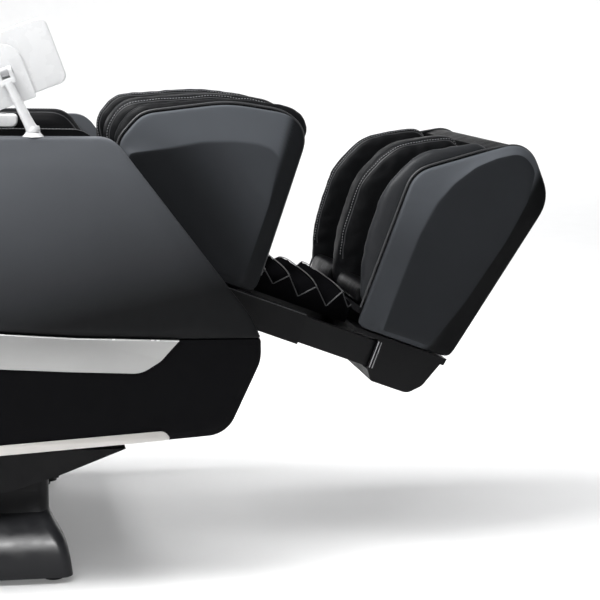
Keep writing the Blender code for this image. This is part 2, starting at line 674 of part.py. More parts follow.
def foot_unit():
    toe = [(0.620, 0.400, 0.06), (0.545, 0.482, 0.045)]
    panel = [(0.366, 0.0985, 0.006), (0.5525, 0.0783, 0.006), *toe, (0.380, 0.362, 0.05)]
    for side, low, high in both_sides(*FOOT_SHELL):
        soften(slab(f"foot_shell_{side}", FOOT, panel, low, high, CHARCOAL), 0.006)
    housing = [(0.368, 0.0985), (0.5525, 0.0785, 0.006), *toe, (0.498, 0.4468),
               (0.504, 0.4360), (0.543, 0.4660, 0.036), (0.607, 0.3970, 0.050),
               (0.5435, 0.0895), (0.368, 0.1095)]
    half = FOOT_SHELL[0] - GAP
    slab("foot_housing", FOOT, housing, -half, half, BLACK)
    liner = slab("foot_liner", FOOT, [(0.3685, 0.1114), (0.5412, 0.0916),
                                      (0.6020, 0.3970, 0.045), (0.5415, 0.4610, 0.033),
                                      (0.5070, 0.4300), (0.4930, 0.4435), (0.480, 0.4560, 0.02),
                                      (0.372, 0.395, 0.04), (0.340, 0.315, 0.04),
                                      (0.342, 0.235, 0.06), (0.360, 0.125, 0.01)],
                 -half, half, LEATHER)
    soften(liner, 0.005)
    face, back = (0.508, 0.135), (0.568, 0.405)
    lean = (back[0] - face[0]) / (back[1] - face[1])
    well = [(0.30, 0.145), (*face, 0.02), (*back, 0.03), (0.530, 0.440), (0.440, 0.600),
            (0.30, 0.600)]
    skin = 0.006
    near, far = (face[0] + skin + lean * (z - face[1]) for z in (0.165, 0.235))
    cavity = [(near, 0.165), (0.640, 0.165), (0.640, 0.235), (far, 0.235)]
    cut(liner,
        slab("foot_well", FOOT, well, -0.200, -0.035),
        slab("foot_well", FOOT, well, 0.035, 0.200),
        slab("roller_cavity", FOOT, cavity, -0.206, 0.206))


def sole_roller():
    x, z = SOLE_ROLLER
    hook = body("sole_roller", LEG_FRAME @ at(x, 0, z))
    roller = rod("sole_roller", hook, (0, 0, 0), (0, 1, 0), 0.408, 0.005, RUBBER, sides=16)
    lobes = [soften(rod("lobe", hook, (0, y, 0), (0, 1, 0), 0.13, 0.0145, sides=16), 0.005)
             for y in (-0.118, 0.118)]
    join(roller, *lobes)


def foot_base():
    corners = [(0.374, 0.0735), (0.374, 0.0664), (0.4205, 0.0660), (0.4205, 0.012, 0.006),
               (0.434, -0.007, 0.006), (0.505, -0.007, 0.02), (0.526, 0.014, 0.02),
               (0.543, 0.061), (0.5495, 0.061), (0.5515, 0.0735)]
    base = slab("foot_base", FOOT, corners, -0.240, 0.240, BLACK)
    hollow = [(0.426, 0.0695), (0.426, 0.0120, 0.005), (0.437, -0.003, 0.005),
              (0.503, -0.003, 0.017), (0.522, 0.016, 0.02), (0.536, 0.056), (0.536, 0.0695)]
    mouth = [(0.400, 0.0100), (0.430, 0.0100), (0.430, 0.0662), (0.360, 0.0662),
             (0.360, 0.0100)]
    drain = rod("drain", FOOT, (0.47, 0, 0), (0, 0, 1), 0.03, 0.008)
    cut(base, slab("base_hollow", FOOT, hollow, -0.236, 0.236),
        slab("rail_mouth", FOOT, mouth, -0.2355, 0.2355), drain)


# --- Remote: x along the screen's width, z up the screen, y towards the sitter -----------------
def remote():
    fx, fy, fz = REMOTE_FOOT
    rod_place = (fx - TILT_PIVOT[0], fy, fz + GAP + 0.0035 - TILT_PIVOT[1])
    rod("remote_socket", SEAT, rod_place, (0, 0, 1), 0.007, 0.0170, WHITE, top=0.0115)
    stalk_foot = Vector((fx, fy, fz + 0.008))
    swivel = body("remote_stalk", Matrix.Translation(stalk_foot))
    knuckle = Vector(REMOTE_KNUCKLE)
    tilt_frame = Matrix.Translation(knuckle) @ Matrix.Rotation(REMOTE_ROLL, 4, "Y")
    local = Matrix.Translation(-stalk_foot) @ tilt_frame
    fork_root = local @ Vector((0, -0.004, -0.016))
    collar = rod("remote_stalk", swivel, (0, 0, 0.005), (0, 0, 1), 0.010, 0.0105, WHITE, top=0.0080)
    lean = fork_root - Vector((0, 0, 0.006))
    stem = rod("stem", swivel, tuple(lean / 2 + Vector((0, 0, 0.006))), tuple(lean.normalized()),
               lean.length, 0.0078, top=0.0062)
    ears = []
    for x in (-0.0095, 0.0095):
        place = local @ Matrix.Translation((x, 0, 0))
        ears.append(placed_box("fork", swivel, local, (x - 0.0030, x + 0.0030),
                               (-0.0075, 0.0055), (-0.020, 0.001)))
        ears.append(placed_rod("eye", swivel, place, 0.0064, 0.0077))
    bridge = placed_box("bridge", swivel, local, (-0.0110, 0.0110), (-0.0073, 0.0053),
                        (-0.0198, -0.0105))
    pin = placed_rod("pin", swivel, local, 0.0250, 0.0035)
    join(collar, stem, bridge, *ears, pin)
    holder(tilt_frame)


def placed_box(name, hook, place, xs, ys, zs):
    """A box in another frame, for shapes at an angle to their body."""
    part = box(name, hook, xs, ys, zs)
    part.data.transform(place)
    return part


def placed_rod(name, hook, place, length, radius):
    part = rod(name, hook, (0, 0, 0), (1, 0, 0), length, radius, sides=20)
    part.data.transform(place)
    return part


PLATE_Y = (0.0095, 0.0135)
TABLET_MIDDLE = (-0.004, 0.007)


def holder(tilt_frame):
    hook = body("remote_holder", tilt_frame)
    y0, y1 = PLATE_Y
    width, height, depth = TABLET
    bottom = TABLET_MIDDLE[1] - height / 2
    plate = slab("remote_holder", hook, [(-0.034, bottom - 0.006, 0.006),
                                         (0.034, bottom - 0.006, 0.006), (0.034, 0.044, 0.033),
                                         (-0.034, 0.044, 0.033)], y0, y1, WHITE)
    front = y1 + depth + 2 * GAP
    join(plate,
         box("ledge", hook, (-0.028, 0.028), (y0 + 0.001, front + 0.003),
             (bottom - 0.0055, bottom - GAP)),
         box("lip", hook, (-0.0275, 0.0275), (front, front + 0.0029), (bottom - 0.005,
                                                                      bottom + 0.008)),
         box("neck", hook, (-0.0060, 0.0060), (0.001, y0 + 0.001), (-0.0058, 0.0058)),
         rod("barrel", hook, (0, 0, 0), (1, 0, 0), 0.0121, 0.0074, sides=20))
    cut(plate, rod("pin_bore", hook, (0, 0, 0), (1, 0, 0), 0.03, 0.0035 + BORE_CLEARANCE,
                   sides=20))
    x, z = TABLET_MIDDLE
    tablet_hook = body("tablet", tilt_frame @ at(x, y1 + GAP + depth / 2, z))
    corners = [(-width / 2, -height / 2, 0.012), (width / 2, -height / 2, 0.012),
               (width / 2, height / 2, 0.012), (-width / 2, height / 2, 0.012)]
    soften(slab("tablet", tablet_hook, corners, -depth / 2, depth / 2, WHITE), 0.002)


def build():
    base_cover()
    base_frame()
    feet_and_wheels()
    power_entry()
    tilt_motor()
    seat_frame()
    seat_cushion()
    side_shells()
    trims()
    arm_pads()
    belly_cover()
    control_pod()
    seat_motors()
    back_frame()
    back_shell()
    back_cushion()
    head_pillow()
    shoulder_wings()
    massage_carriage()
    leg_frame()
    calf_unit()
    bellows()
    foot_rails()
    foot_unit()
    sole_roller()
    foot_base()
    remote()


build()
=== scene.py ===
"""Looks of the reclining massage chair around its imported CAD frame.

Leather pads, faceted side panels, strips, bellows, remote, base and materials. Metres, row frame.
"""
import json
import math

import bmesh
import bpy
import numpy as np
from mathutils import Matrix, Vector, noise
from mathutils.bvhtree import BVHTree

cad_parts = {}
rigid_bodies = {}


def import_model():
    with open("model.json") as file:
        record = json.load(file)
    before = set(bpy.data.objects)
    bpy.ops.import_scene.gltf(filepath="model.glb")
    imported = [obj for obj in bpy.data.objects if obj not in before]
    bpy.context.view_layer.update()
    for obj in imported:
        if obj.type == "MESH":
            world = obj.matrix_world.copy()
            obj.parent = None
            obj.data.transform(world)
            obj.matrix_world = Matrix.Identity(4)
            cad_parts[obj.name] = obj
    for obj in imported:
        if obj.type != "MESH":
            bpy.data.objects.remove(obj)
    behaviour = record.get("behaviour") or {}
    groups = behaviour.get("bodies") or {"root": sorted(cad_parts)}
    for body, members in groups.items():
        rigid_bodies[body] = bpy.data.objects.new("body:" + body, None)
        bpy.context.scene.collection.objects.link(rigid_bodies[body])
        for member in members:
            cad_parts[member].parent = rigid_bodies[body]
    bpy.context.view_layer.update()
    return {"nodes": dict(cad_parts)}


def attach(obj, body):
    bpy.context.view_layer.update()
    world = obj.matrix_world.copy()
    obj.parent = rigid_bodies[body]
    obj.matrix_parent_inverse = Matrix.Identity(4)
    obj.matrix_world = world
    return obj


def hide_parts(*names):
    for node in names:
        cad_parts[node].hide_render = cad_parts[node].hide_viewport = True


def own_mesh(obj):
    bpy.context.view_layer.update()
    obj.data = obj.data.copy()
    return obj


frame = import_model()
nodes = frame["nodes"]
scene = bpy.context.scene

# --- Frames, as in the CAD ---------------------------------------------------------------------
HIP = (-0.22, 0.42)
KNEE = (0.26, 0.47)
REMOTE = (0.038, -0.358, 0.846)
STALK_XY = (0.082, -0.358)
BUTTON_XY = (0.045, 0.2753)
C20, S20 = math.cos(math.radians(20)), math.sin(math.radians(20))
C30, S30 = math.cos(math.radians(30)), math.sin(math.radians(30))
C21, S21 = math.cos(math.radians(21)), math.sin(math.radians(21))
BACK_LENGTH = 0.85
SIDES = (("r", -1), ("l", 1))


def in_seat(p):
    return np.asarray(p, float)


def in_leg(p):
    x, y, z = np.asarray(p, float).T
    return np.stack((KNEE[0] + x * C20 + z * S20, y, KNEE[1] - x * S20 + z * C20), 1)


def in_back(p):
    s, y, t = np.asarray(p, float).T
    return np.stack((HIP[0] - s * C30 + t * S30, y, HIP[1] + s * S30 + t * C30), 1)


def in_remote(p):
    x, y, z = np.asarray(p, float).T
    return np.stack((REMOTE[0] + x * C21 - z * S21, y + REMOTE[1],
                     REMOTE[2] + x * S21 + z * C21), 1)


def at_y(p, y):
    """An x-z line as points at one y."""
    return np.stack((p[:, 0], np.full(len(p), y), p[:, 1]), 1)


# --- Materials ---------------------------------------------------------------------------------
def material(name, colour, rough, metallic=0.0, grain=0.0, grain_scale=700, crease=0.0,
             crease_scale=45, spread=0.12, speck=0.0, coat=0.0, coat_rough=0.1, wear=0.0,
             weave=0.0, brushed=0.0, specular=0.5, rough_spread=0.08, painted_shade_ramp=None, shaded=False):
    """A shader with uneven tone and roughness. One option darkens it along an axis, a painted
    shade for less light lower down; shaded multiplies it by the mesh's own painted light and
    shade values."""
    m = bpy.data.materials.new(name)
    m.use_nodes = True
    nt = m.node_tree
    shader = nt.nodes["Principled BSDF"]
    link, new = nt.links.new, nt.nodes.new
    coord = new("ShaderNodeTexCoord").outputs["Object"]

    def noise_of(scale, detail=4.0, stretch=None):
        source = coord
        if stretch:
            mapping = new("ShaderNodeMapping")
            mapping.inputs["Scale"].default_value = stretch
            link(coord, mapping.inputs["Vector"])
            source = mapping.outputs["Vector"]
        n = new("ShaderNodeTexNoise")
        n.inputs["Scale"].default_value = scale
        n.inputs["Detail"].default_value = detail
        link(source, n.inputs["Vector"])
        return n.outputs["Fac"]

    def ranged(value, low, high, new_low, new_high):
        r = new("ShaderNodeMapRange")
        for key, number in zip(("From Min", "From Max", "To Min", "To Max"),
                               (low, high, new_low, new_high)):
            r.inputs[key].default_value = number
        link(value, r.inputs["Value"])
        return r.outputs["Result"]

    def mixed(factor, first, second):
        mix = new("ShaderNodeMix")
        mix.data_type = "RGBA"
        link(factor, mix.inputs["Factor"])
        for socket, value in ((mix.inputs["A"], first), (mix.inputs["B"], second)):
            if isinstance(value, tuple):
                socket.default_value = value
            else:
                link(value, socket)
        return mix.outputs["Result"]

    def shade(factor):
        return (*[min(1.0, c * factor) for c in colour], 1)

    tone = mixed(ranged(noise_of(7.0), 0.3, 0.7, 0, 1), shade(1 - spread), shade(1 + spread))
    if speck:
        dots = ranged(noise_of(1500.0, 2.0), 0.45, 0.75, 0, speck)
        tone = mixed(dots, tone, shade(2.2))
    if weave:
        mapping = new("ShaderNodeMapping")
        mapping.inputs["Rotation"].default_value = (0, 0, 0.785)
        link(coord, mapping.inputs["Vector"])
        threads = new("ShaderNodeTexWave")
        threads.inputs["Scale"].default_value = 260
        link(mapping.outputs["Vector"], threads.inputs["Vector"])
        tone = mixed(ranged(threads.outputs["Fac"], 0, 1, 0, weave), tone, shade(1.9))
    # Painted shade: the colour darkens along the axis towards its low end, where less light
    # falls.
    if painted_shade_ramp:
        axis, low, high, dark = painted_shade_ramp
        dot = new("ShaderNodeVectorMath")
        dot.operation = "DOT_PRODUCT"
        dot.inputs[1].default_value = axis
        link(coord, dot.inputs[0])
        depth = ranged(dot.outputs["Value"], low, high, 1, 0)
        tone = mixed(depth, tone, shade(dark))
    # Painted light and shade: the mesh's shade values scale the colour, lit bands light and
    # shaded ones dark.
    if shaded:
        facets = new("ShaderNodeAttribute")
        facets.attribute_name = "shade"
        tone = mixed(facets.outputs["Fac"], shade(0.0), tone)
    if wear:
        point = new("ShaderNodeNewGeometry").outputs["Pointiness"]
        tone = mixed(ranged(point, 0.52, 0.62, 0, wear), tone, shade(2.6))
    link(tone, shader.inputs["Base Color"])
    low, high = max(0.03, rough - rough_spread), min(1.0, rough + rough_spread)
    link(ranged(noise_of(38.0), 0.3, 0.7, low, high), shader.inputs["Roughness"])
    shader.inputs["Metallic"].default_value = metallic
    shader.inputs["Specular IOR Level"].default_value = specular
    if coat:
        shader.inputs["Coat Weight"].default_value = coat
        shader.inputs["Coat Roughness"].default_value = coat_rough
    normal = None

    def bump(height, strength, distance, before):
        b = new("ShaderNodeBump")
        b.inputs["Strength"].default_value = strength
        b.inputs["Distance"].default_value = distance
        link(height, b.inputs["Height"])
        if before:
            link(before, b.inputs["Normal"])
        return b.outputs["Normal"]

    if crease:
        normal = bump(noise_of(crease_scale, 6.0), crease, 0.004, normal)
    if brushed:
        normal = bump(noise_of(900, 2.0, (0.02, 1, 1)), brushed, 0.0003, normal)
    if grain:
        cells = new("ShaderNodeTexVoronoi")
        cells.inputs["Scale"].default_value = grain_scale
        link(coord, cells.inputs["Vector"])
        normal = bump(cells.outputs["Distance"], grain, 0.0006, normal)
    if normal:
        link(normal, shader.inputs["Normal"])
    return m


# Charcoal leatherette that takes the panels' painted light and shade values.
CHARCOAL = material("charcoal_leatherette", (0.082, 0.0885, 0.0985), 0.55, grain=0.1,
                    grain_scale=900, spread=0.05, specular=0.06, shaded=True)
LOWER = material("black_moulding", (0.0036, 0.0036, 0.0042), 0.6, grain=0.12, grain_scale=1100,
                 speck=0.15, specular=0.04, spread=0.1)
LEATHER = material("black_leather", (0.0036, 0.0036, 0.0041), 0.38, grain=0.35, grain_scale=520,
                   crease=0.3, crease_scale=38, spread=0.18, specular=0.16, wear=0.06)
SOFT_LEATHER = material("black_soft_leather", (0.007, 0.0073, 0.008), 0.46, grain=0.35,
                        grain_scale=480, crease=0.16, crease_scale=22, spread=0.15,
                        specular=0.07, wear=0.08)
PIPING = material("piping_leather", (0.045, 0.046, 0.048), 0.36, grain=0.25, specular=0.4,
                  spread=0.1)
# A lighter copy of the soft leather for the near foot wall: painted light, the near wall lit
# while the inner walls stand in shade.
WALL_LEATHER_PAINTED_LIGHT = material("black_wall_leather", (0.022, 0.0232, 0.0255), 0.46, grain=0.35,
                        grain_scale=480, crease=0.14, crease_scale=22, spread=0.15,
                        specular=0.16, wear=0.08)
THREAD = material("grey_thread", (0.22, 0.225, 0.235), 0.75, grain=0.4, grain_scale=2500)
GLOSS = material("gloss_black_moulding", (0.0035, 0.0036, 0.004), 0.36, grain=0.04, spread=0.1,
                 specular=0.16, wear=0.04, speck=0.05)
MATT = material("matt_black_moulding", (0.004, 0.004, 0.0045), 0.52, grain=0.15,
                grain_scale=900, spread=0.12, specular=0.14)
SILVER = material("silver_strip", (0.36, 0.36, 0.355), 0.38, metallic=0.35, brushed=0.15,
                  spread=0.03, rough_spread=0.04)
# A lighter, shinier copy of the silver trim for the bead on the strips' top edge: a real edge,
# its lighter colour a painted highlight.
SILVER_EDGE_HIGHLIGHT = material("silver_edge", (0.8, 0.8, 0.8), 0.22, metallic=0.6, spread=0.02,
                       brushed=0.1)
CHAMPAGNE = material("champagne_strip", (0.52, 0.503, 0.482), 0.36, metallic=0.25, brushed=0.12,
                     spread=0.03, rough_spread=0.04)
WHITE = material("white_plastic", (0.78, 0.785, 0.79), 0.28, grain=0.02, spread=0.02, coat=0.3,
                 coat_rough=0.12)
KNUCKLE = material("grey_knuckle", (0.36, 0.36, 0.37), 0.38, grain=0.05, spread=0.05)
STEEL = material("black_steel", (0.01, 0.01, 0.011), 0.45, metallic=0.3, grain=0.1,
                 grain_scale=1200, spread=0.15, wear=0.2, specular=0.2)
BRIGHT = material("bright_steel", (0.35, 0.35, 0.36), 0.32, metallic=0.9, brushed=0.2)
RUBBER = material("black_rubber", (0.006, 0.006, 0.0062), 0.8, grain=0.3, grain_scale=1300,
                  spread=0.15, specular=0.12)
GREY = material("grey_plastic", (0.12, 0.12, 0.125), 0.55, grain=0.1, spread=0.08)
FOLDS = material("bellows_fabric", (0.0038, 0.0038, 0.0043), 0.7, grain=0.3, grain_scale=900,
                 crease=0.45, crease_scale=30, weave=0.15, spread=0.2, specular=0.0)
SCREEN = material("screen_glass", (0.006, 0.007, 0.009), 0.08, grain=0.0, spread=0.02, coat=1.0,
                  coat_rough=0.03, rough_spread=0.02)


# --- Mesh helpers ------------------------------------------------------------------------------
def outline(corners, step=math.radians(6)):
    """Points through corners, each (x, z) or (x, z, fillet radius)."""
    points = []
    for i, corner in enumerate(corners):
        here = Vector(corner[:2])
        if len(corner) == 2:
            points.append(tuple(here))
            continue
        radius = corner[2]
        back = (Vector(corners[i - 1][:2]) - here).normalized()
        ahead = (Vector(corners[(i + 1) % len(corners)][:2]) - here).normalized()
        half = back.angle(ahead) / 2
        turn = math.pi - 2 * half
        centre = here + (back + ahead).normalized() * radius / math.sin(half)
        start = here + back * radius / math.tan(half) - centre
        sign = 1 if back.x * ahead.y - back.y * ahead.x < 0 else -1
        count = max(1, math.ceil(turn / step))
        for k in range(count + 1):
            points.append(tuple(centre + Matrix.Rotation(sign * turn * k / count, 2) @ start))
    return np.array(points)


def even(points, spacing, closed=True):
    """The line's points again, evenly spaced along it."""
    p = np.vstack((points, points[:1])) if closed else np.asarray(points, float)
    run = np.concatenate(([0], np.cumsum(np.linalg.norm(np.diff(p, axis=0), axis=1))))
    count = max(8, int(round(run[-1] / spacing)))
    at = np.linspace(0, run[-1], count, endpoint=not closed)
    return np.stack([np.interp(at, run, p[:, k]) for k in range(p.shape[1])], 1)


def smoothed(points, rounds, closed=True):
    p = points.copy()
    for _ in range(rounds):
        if closed:
            p = 0.5 * p + 0.25 * (np.roll(p, 1, 0) + np.roll(p, -1, 0))
        else:
            p[1:-1] = 0.5 * p[1:-1] + 0.25 * (p[:-2] + p[2:])
    return p


def normals_2d(p):
    """Outward normals of a closed outline."""
    t = np.roll(p, -1, 0) - np.roll(p, 1, 0)
    t /= np.linalg.norm(t, axis=1)[:, None] + 1e-12
    area = np.sum(p[:, 0] * np.roll(p[:, 1], -1) - p[:, 1] * np.roll(p[:, 0], -1))
    return np.stack((t[:, 1], -t[:, 0]), 1) * (1 if area > 0 else -1)


def finish_mesh(name, bm, mat, body, slot=None, sharp=50):
    """Makes the object, smooths it up to the sharp angle and puts it on its body."""
    bmesh.ops.recalc_face_normals(bm, faces=bm.faces)
    mesh = bpy.data.meshes.new(name)
    bm.to_mesh(mesh)
    bm.free()
    mesh.shade_smooth()
    mesh.set_sharp_from_angle(angle=math.radians(sharp))
    thing = bpy.data.objects.new(name, mesh)
    scene.collection.objects.link(thing)
    mesh.materials.append(mat)
    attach(thing, body)
    return thing


def skin(bm, rings):
    """Faces between neighbouring closed rings of vertices."""
    for a, b in zip(rings, rings[1:]):
        for i in range(len(a)):
            j = (i + 1) % len(a)
            bm.faces.new((a[i], a[j], b[j], b[i]))


def loft(name, rings, mat, body, place=in_seat, loop=False, slot=None, sharp=50):
    """A skin through rings of equal count, capped at both ends unless it is a loop."""
    bm = bmesh.new()
    loops = [[bm.verts.new(v) for v in place(r)] for r in rings]
    skin(bm, loops + (loops[:1] if loop else []))
    if not loop:
        bm.faces.new(loops[0])
        bm.faces.new(loops[-1])
    return finish_mesh(name, bm, mat, body, slot, sharp=sharp)


def rim_rings(p, low, high, radius, count=4):
    """Rings of an outline extruded from y = low to y = high, its rims rounded inwards."""
    n = normals_2d(p)
    angles = [math.pi / 2 * k / count for k in range(count + 1)]
    sets = [(radius * (1 - math.sin(a)), low + radius * (1 - math.cos(a))) for a in angles]
    sets += [(radius * (1 - math.cos(a)), high - radius * (1 - math.sin(a))) for a in angles]
    return [at_y(p - n * inset, y) for inset, y in sets]


def box(x0, z0, x1, z1, radius):
    """The corners of a rectangle for outline()."""
    return [(x0, z0, radius), (x1, z0, radius), (x1, z1, radius), (x0, z1, radius)]


def slab(name, corners, low, high, mat, body, place=in_seat, rim=0.003, count=3, rounds=0,
         slot=None):
    """A plate with rounded rims: an outline in x-z between two values of y."""
    p = outline(corners) if not isinstance(corners, np.ndarray) else corners
    if rounds:
        p = smoothed(even(p, 0.006), rounds)
    return loft(name, rim_rings(p, low, high, rim, count), mat, body, place, slot=slot)


def ray_lengths(centre, directions, polygon):
    """How far each ray from the centre runs to the closed polygon."""
    e = np.roll(polygon, -1, 0) - polygon
    w = polygon - centre
    d = directions[:, None, :]
    cross = d[..., 0] * e[None, :, 1] - d[..., 1] * e[None, :, 0]
    cross = np.where(abs(cross) < 1e-12, 1e-12, cross)
    t = (w[None, :, 0] * e[None, :, 1] - w[None, :, 1] * e[None, :, 0]) / cross
    u = (w[None, :, 0] * d[..., 1] - w[None, :, 1] * d[..., 0]) / cross
    hit = np.where((t > 1e-6) & (u >= -1e-9) & (u <= 1 + 1e-9), t, np.inf)
    return hit.min(1)


SAMPLES = 300


def panel(name, corners, facet, centre, y_in, y_edge, y_face, side, mat, body, place,
          rim=0.004, soft=0.008, lean=None, spacing=0.004, rounds=0, slot=None, shade=None):
    """A moulded panel: a centre facet at y_face and bands that fall to y_edge at the outline.

    Its height is drawn along rays from the centre, softened over a width of soft, and skinned as
    rings. shade gives each ring its painted light and shade, a value the material multiplies the
    colour by.
    """
    p = even(outline(corners), spacing)
    if rounds:
        p = smoothed(p, rounds)
    centre = np.array(centre)
    away = p - centre
    reach = np.linalg.norm(away, axis=1)
    u = away / reach[:, None]
    f = ray_lengths(centre, u, smoothed(even(outline(facet), 0.003), 6))
    f = np.minimum(f, reach - 0.01)
    grid = np.linspace(0, 1, SAMPLES)
    height = np.empty((len(p), SAMPLES))
    for i in range(len(p)):
        d = grid * reach[i]
        band = np.clip((reach[i] - d) / (reach[i] - f[i]), 0, 1)
        h = y_edge + (y_face - y_edge) * band
        width = max(1, int(round(soft / reach[i] * SAMPLES)))
        kernel = np.hanning(2 * width + 3)
        kernel /= kernel.sum()
        padded = np.pad(h, width + 1, mode="reflect", reflect_type="odd")
        height[i] = np.convolve(padded, kernel, mode="valid")
    rings = [(reach - rim * (1 - math.cos(a)), rim * (1 - math.sin(a)))
             for a in [math.pi / 2 * k / 4 for k in range(5)]]
    rings += [((reach - rim) * (1 - q) + f * q, 0) for q in np.linspace(0, 1, 12)[1:]]
    rings += [(f * (1 - q), 0)
              for q in (*np.linspace(0, 0.2, 6)[1:], *np.linspace(0.2, 0.96, 14)[1:])]
    made = [at_y(p, y_in)]
    # The inner face takes a low painted shade value.
    tones = [np.full(len(p), 0.1)]
    for d, drop in rings:
        h = np.array([np.interp(d[i] / reach[i], grid, height[i]) for i in range(len(p))])
        xz = centre + u * d[:, None]
        y = h - drop
        if lean:
            y = y + lean(xz)
        made.append(at_y(xz, y))
        if shade:
            tones.append(shade(xz, d > f + 0.0005))
    if lean:
        made[0][:, 1] = np.minimum(made[0][:, 1], made[1][:, 1] - 0.002)
    for ring in made:
        ring[:, 1] *= side
    bm = bmesh.new()
    loops = [[bm.verts.new(v) for v in place(r)] for r in made]
    skin(bm, loops)
    middle = bm.verts.new(tuple(place(made[-1].mean(0)[None])[0]))
    for i in range(len(p)):
        bm.faces.new((loops[-1][i], loops[-1][(i + 1) % len(p)], middle))
    bm.faces.new(loops[0])
    thing = finish_mesh(name, bm, mat, body, slot, sharp=60)
    if shade:
        values = np.append(np.concatenate(tones), tones[-1].mean())
        layer = thing.data.attributes.new("shade", "FLOAT", "POINT")
        layer.data.foreach_set("value", values.astype(np.float32))
    return thing


def tube(name, path, radius, mat, body, place=in_seat, sides=10, slot=None):
    """A round bead along a path of points."""
    bm = tube_bm(bmesh.new(), place(np.asarray(path, float)), radius, sides)
    return finish_mesh(name, bm, mat, body, slot)


def tube_bm(bm, p, radius, sides):
    """Adds one round bead to a mesh; radius is one number or one for each point."""
    n = len(p)
    t = np.roll(p, -1, 0) - np.roll(p, 1, 0)
    t[0], t[-1] = p[1] - p[0], p[-1] - p[-2]
    t /= np.linalg.norm(t, axis=1)[:, None]
    side = np.cross(t[0], (0.0, 1.0, 0.0))
    if np.linalg.norm(side) < 0.2:
        side = np.cross(t[0], (1.0, 0.0, 0.0))
    rings = []
    radii = np.broadcast_to(radius, (n,))
    for i in range(n):
        side = side - t[i] * (side @ t[i])
        side /= np.linalg.norm(side)
        up = np.cross(t[i], side)
        ring = []
        for k in range(sides):
            a = 2 * math.pi * k / sides
            ring.append(bm.verts.new(p[i] + radii[i] * (math.cos(a) * side + math.sin(a) * up)))
        rings.append(ring)
    skin(bm, rings)
    bm.faces.new(rings[0])
    bm.faces.new(rings[-1])
    return bm


STITCH_PITCH, STITCH_LENGTH, STITCH_RADIUS = 0.0052, 0.0034, 0.0008


def stitches(name, path, body):
    """A row of short threads along a path of points in the row frame."""
    length = STITCH_LENGTH
    p = even(np.asarray(path, float), STITCH_PITCH / 4, closed=False)
    bm = bmesh.new()
    for i in range(2, len(p) - 4, 4):
        a, b = p[i], p[i + 1]
        d = (b - a) / (np.linalg.norm(b - a) + 1e-9)
        ends = np.stack((a - d * length / 2, a - d * length * 0.3, a + d * length * 0.3,
                         a + d * length / 2))
        tube_bm(bm, ends, np.array([0.35, 1, 1, 0.35]) * STITCH_RADIUS, sides=6)
    return finish_mesh(name, bm, THREAD, body)


def lathe(name, profile, centre, axis, mat, body, slot=None):
    """A turned shape: profile is (radius, height) pairs along the axis."""
    turn = Vector((0, 0, 1)).rotation_difference(Vector(axis)).to_matrix()
    rings = []
    for r, h in profile:
        r = max(r, 1e-4)
        ring = [turn @ Vector((r * math.cos(2 * math.pi * k / 48),
                               r * math.sin(2 * math.pi * k / 48), h)) for k in range(48)]
        rings.append(np.array([tuple(v + Vector(centre)) for v in ring]))
    return loft(name, rings, mat, body, slot=slot, sharp=40)


def tree(thing):
    return BVHTree.FromObject(thing, bpy.context.evaluated_depsgraph_get())


def drape(bvh, points, directions, lift=0.0):
    """Moves points onto a surface along the directions, or to the nearest spot on it."""
    out = []
    for p, d in zip(points, directions):
        d = Vector(d).normalized()
        hit = bvh.ray_cast(Vector(p) - d * 0.04, d, 0.09)
        if hit[0] is None:
            hit = bvh.find_nearest(Vector(p))
        out.append(tuple(hit[0] - d * lift))
    return np.array(out)


def apply_all(thing):
    """Turns the modifiers' result into the object's own mesh."""
    dg = bpy.context.evaluated_depsgraph_get()
    dg.update()
    mesh = bpy.data.meshes.new_from_object(thing.evaluated_get(dg))
    thing.modifiers.clear()
    thing.data = mesh
    mesh.shade_smooth()
    return thing


def vertex_values(mesh, key):
    values = np.empty(len(mesh.vertices) * 3)
    mesh.vertices.foreach_get(key, values)
    return values.reshape(-1, 3)


PUFF_FRAMES = 20


def puff(thing, voxel, cap):
    """Turns a plain shape into a stuffed one: remesh, inflate as cloth, cap, smooth."""
    remesh = thing.modifiers.new("remesh", "REMESH")
    remesh.mode = "VOXEL"
    remesh.voxel_size = voxel
    apply_all(thing)
    rest = moved = vertex_values(thing.data, "co")
    cloth = thing.modifiers.new("cloth", "CLOTH")
    cloth.settings.use_pressure = True
    cloth.settings.uniform_pressure_force = 4.0
    cloth.settings.effector_weights.gravity = 0
    cloth.settings.quality = 4
    cloth.collision_settings.use_self_collision = False
    cloth.point_cache.frame_start, cloth.point_cache.frame_end = 1, PUFF_FRAMES
    for f in range(1, PUFF_FRAMES + 1):
        scene.frame_set(f)
    done = thing.evaluated_get(bpy.context.evaluated_depsgraph_get())
    moved = vertex_values(done.data, "co")
    thing.modifiers.clear()
    scene.frame_set(1)
    change = moved - rest
    size = np.linalg.norm(change, axis=1)
    change *= (np.minimum(size, cap) / (size + 1e-9))[:, None]
    thing.data.vertices.foreach_set("co", (rest + change).ravel())
    soften = thing.modifiers.new("soften", "SMOOTH")
    soften.factor, soften.iterations = 0.5, 4
    subdivide = thing.modifiers.new("subdivide", "SUBSURF")
    subdivide.levels = subdivide.render_levels = 1
    apply_all(thing)


def free(thing, change):
    """Changes a piece's mesh while it is off its body's empty, then puts it back."""
    empty = thing.parent
    thing.parent = None
    change()
    thing.parent = empty


def stuffed(pad, mat, voxel, cap):
    """Puffs a padded piece and gives it its leather again."""
    free(pad, lambda: puff(pad, voxel, cap))
    pad.data.materials.clear()
    pad.data.materials.append(mat)


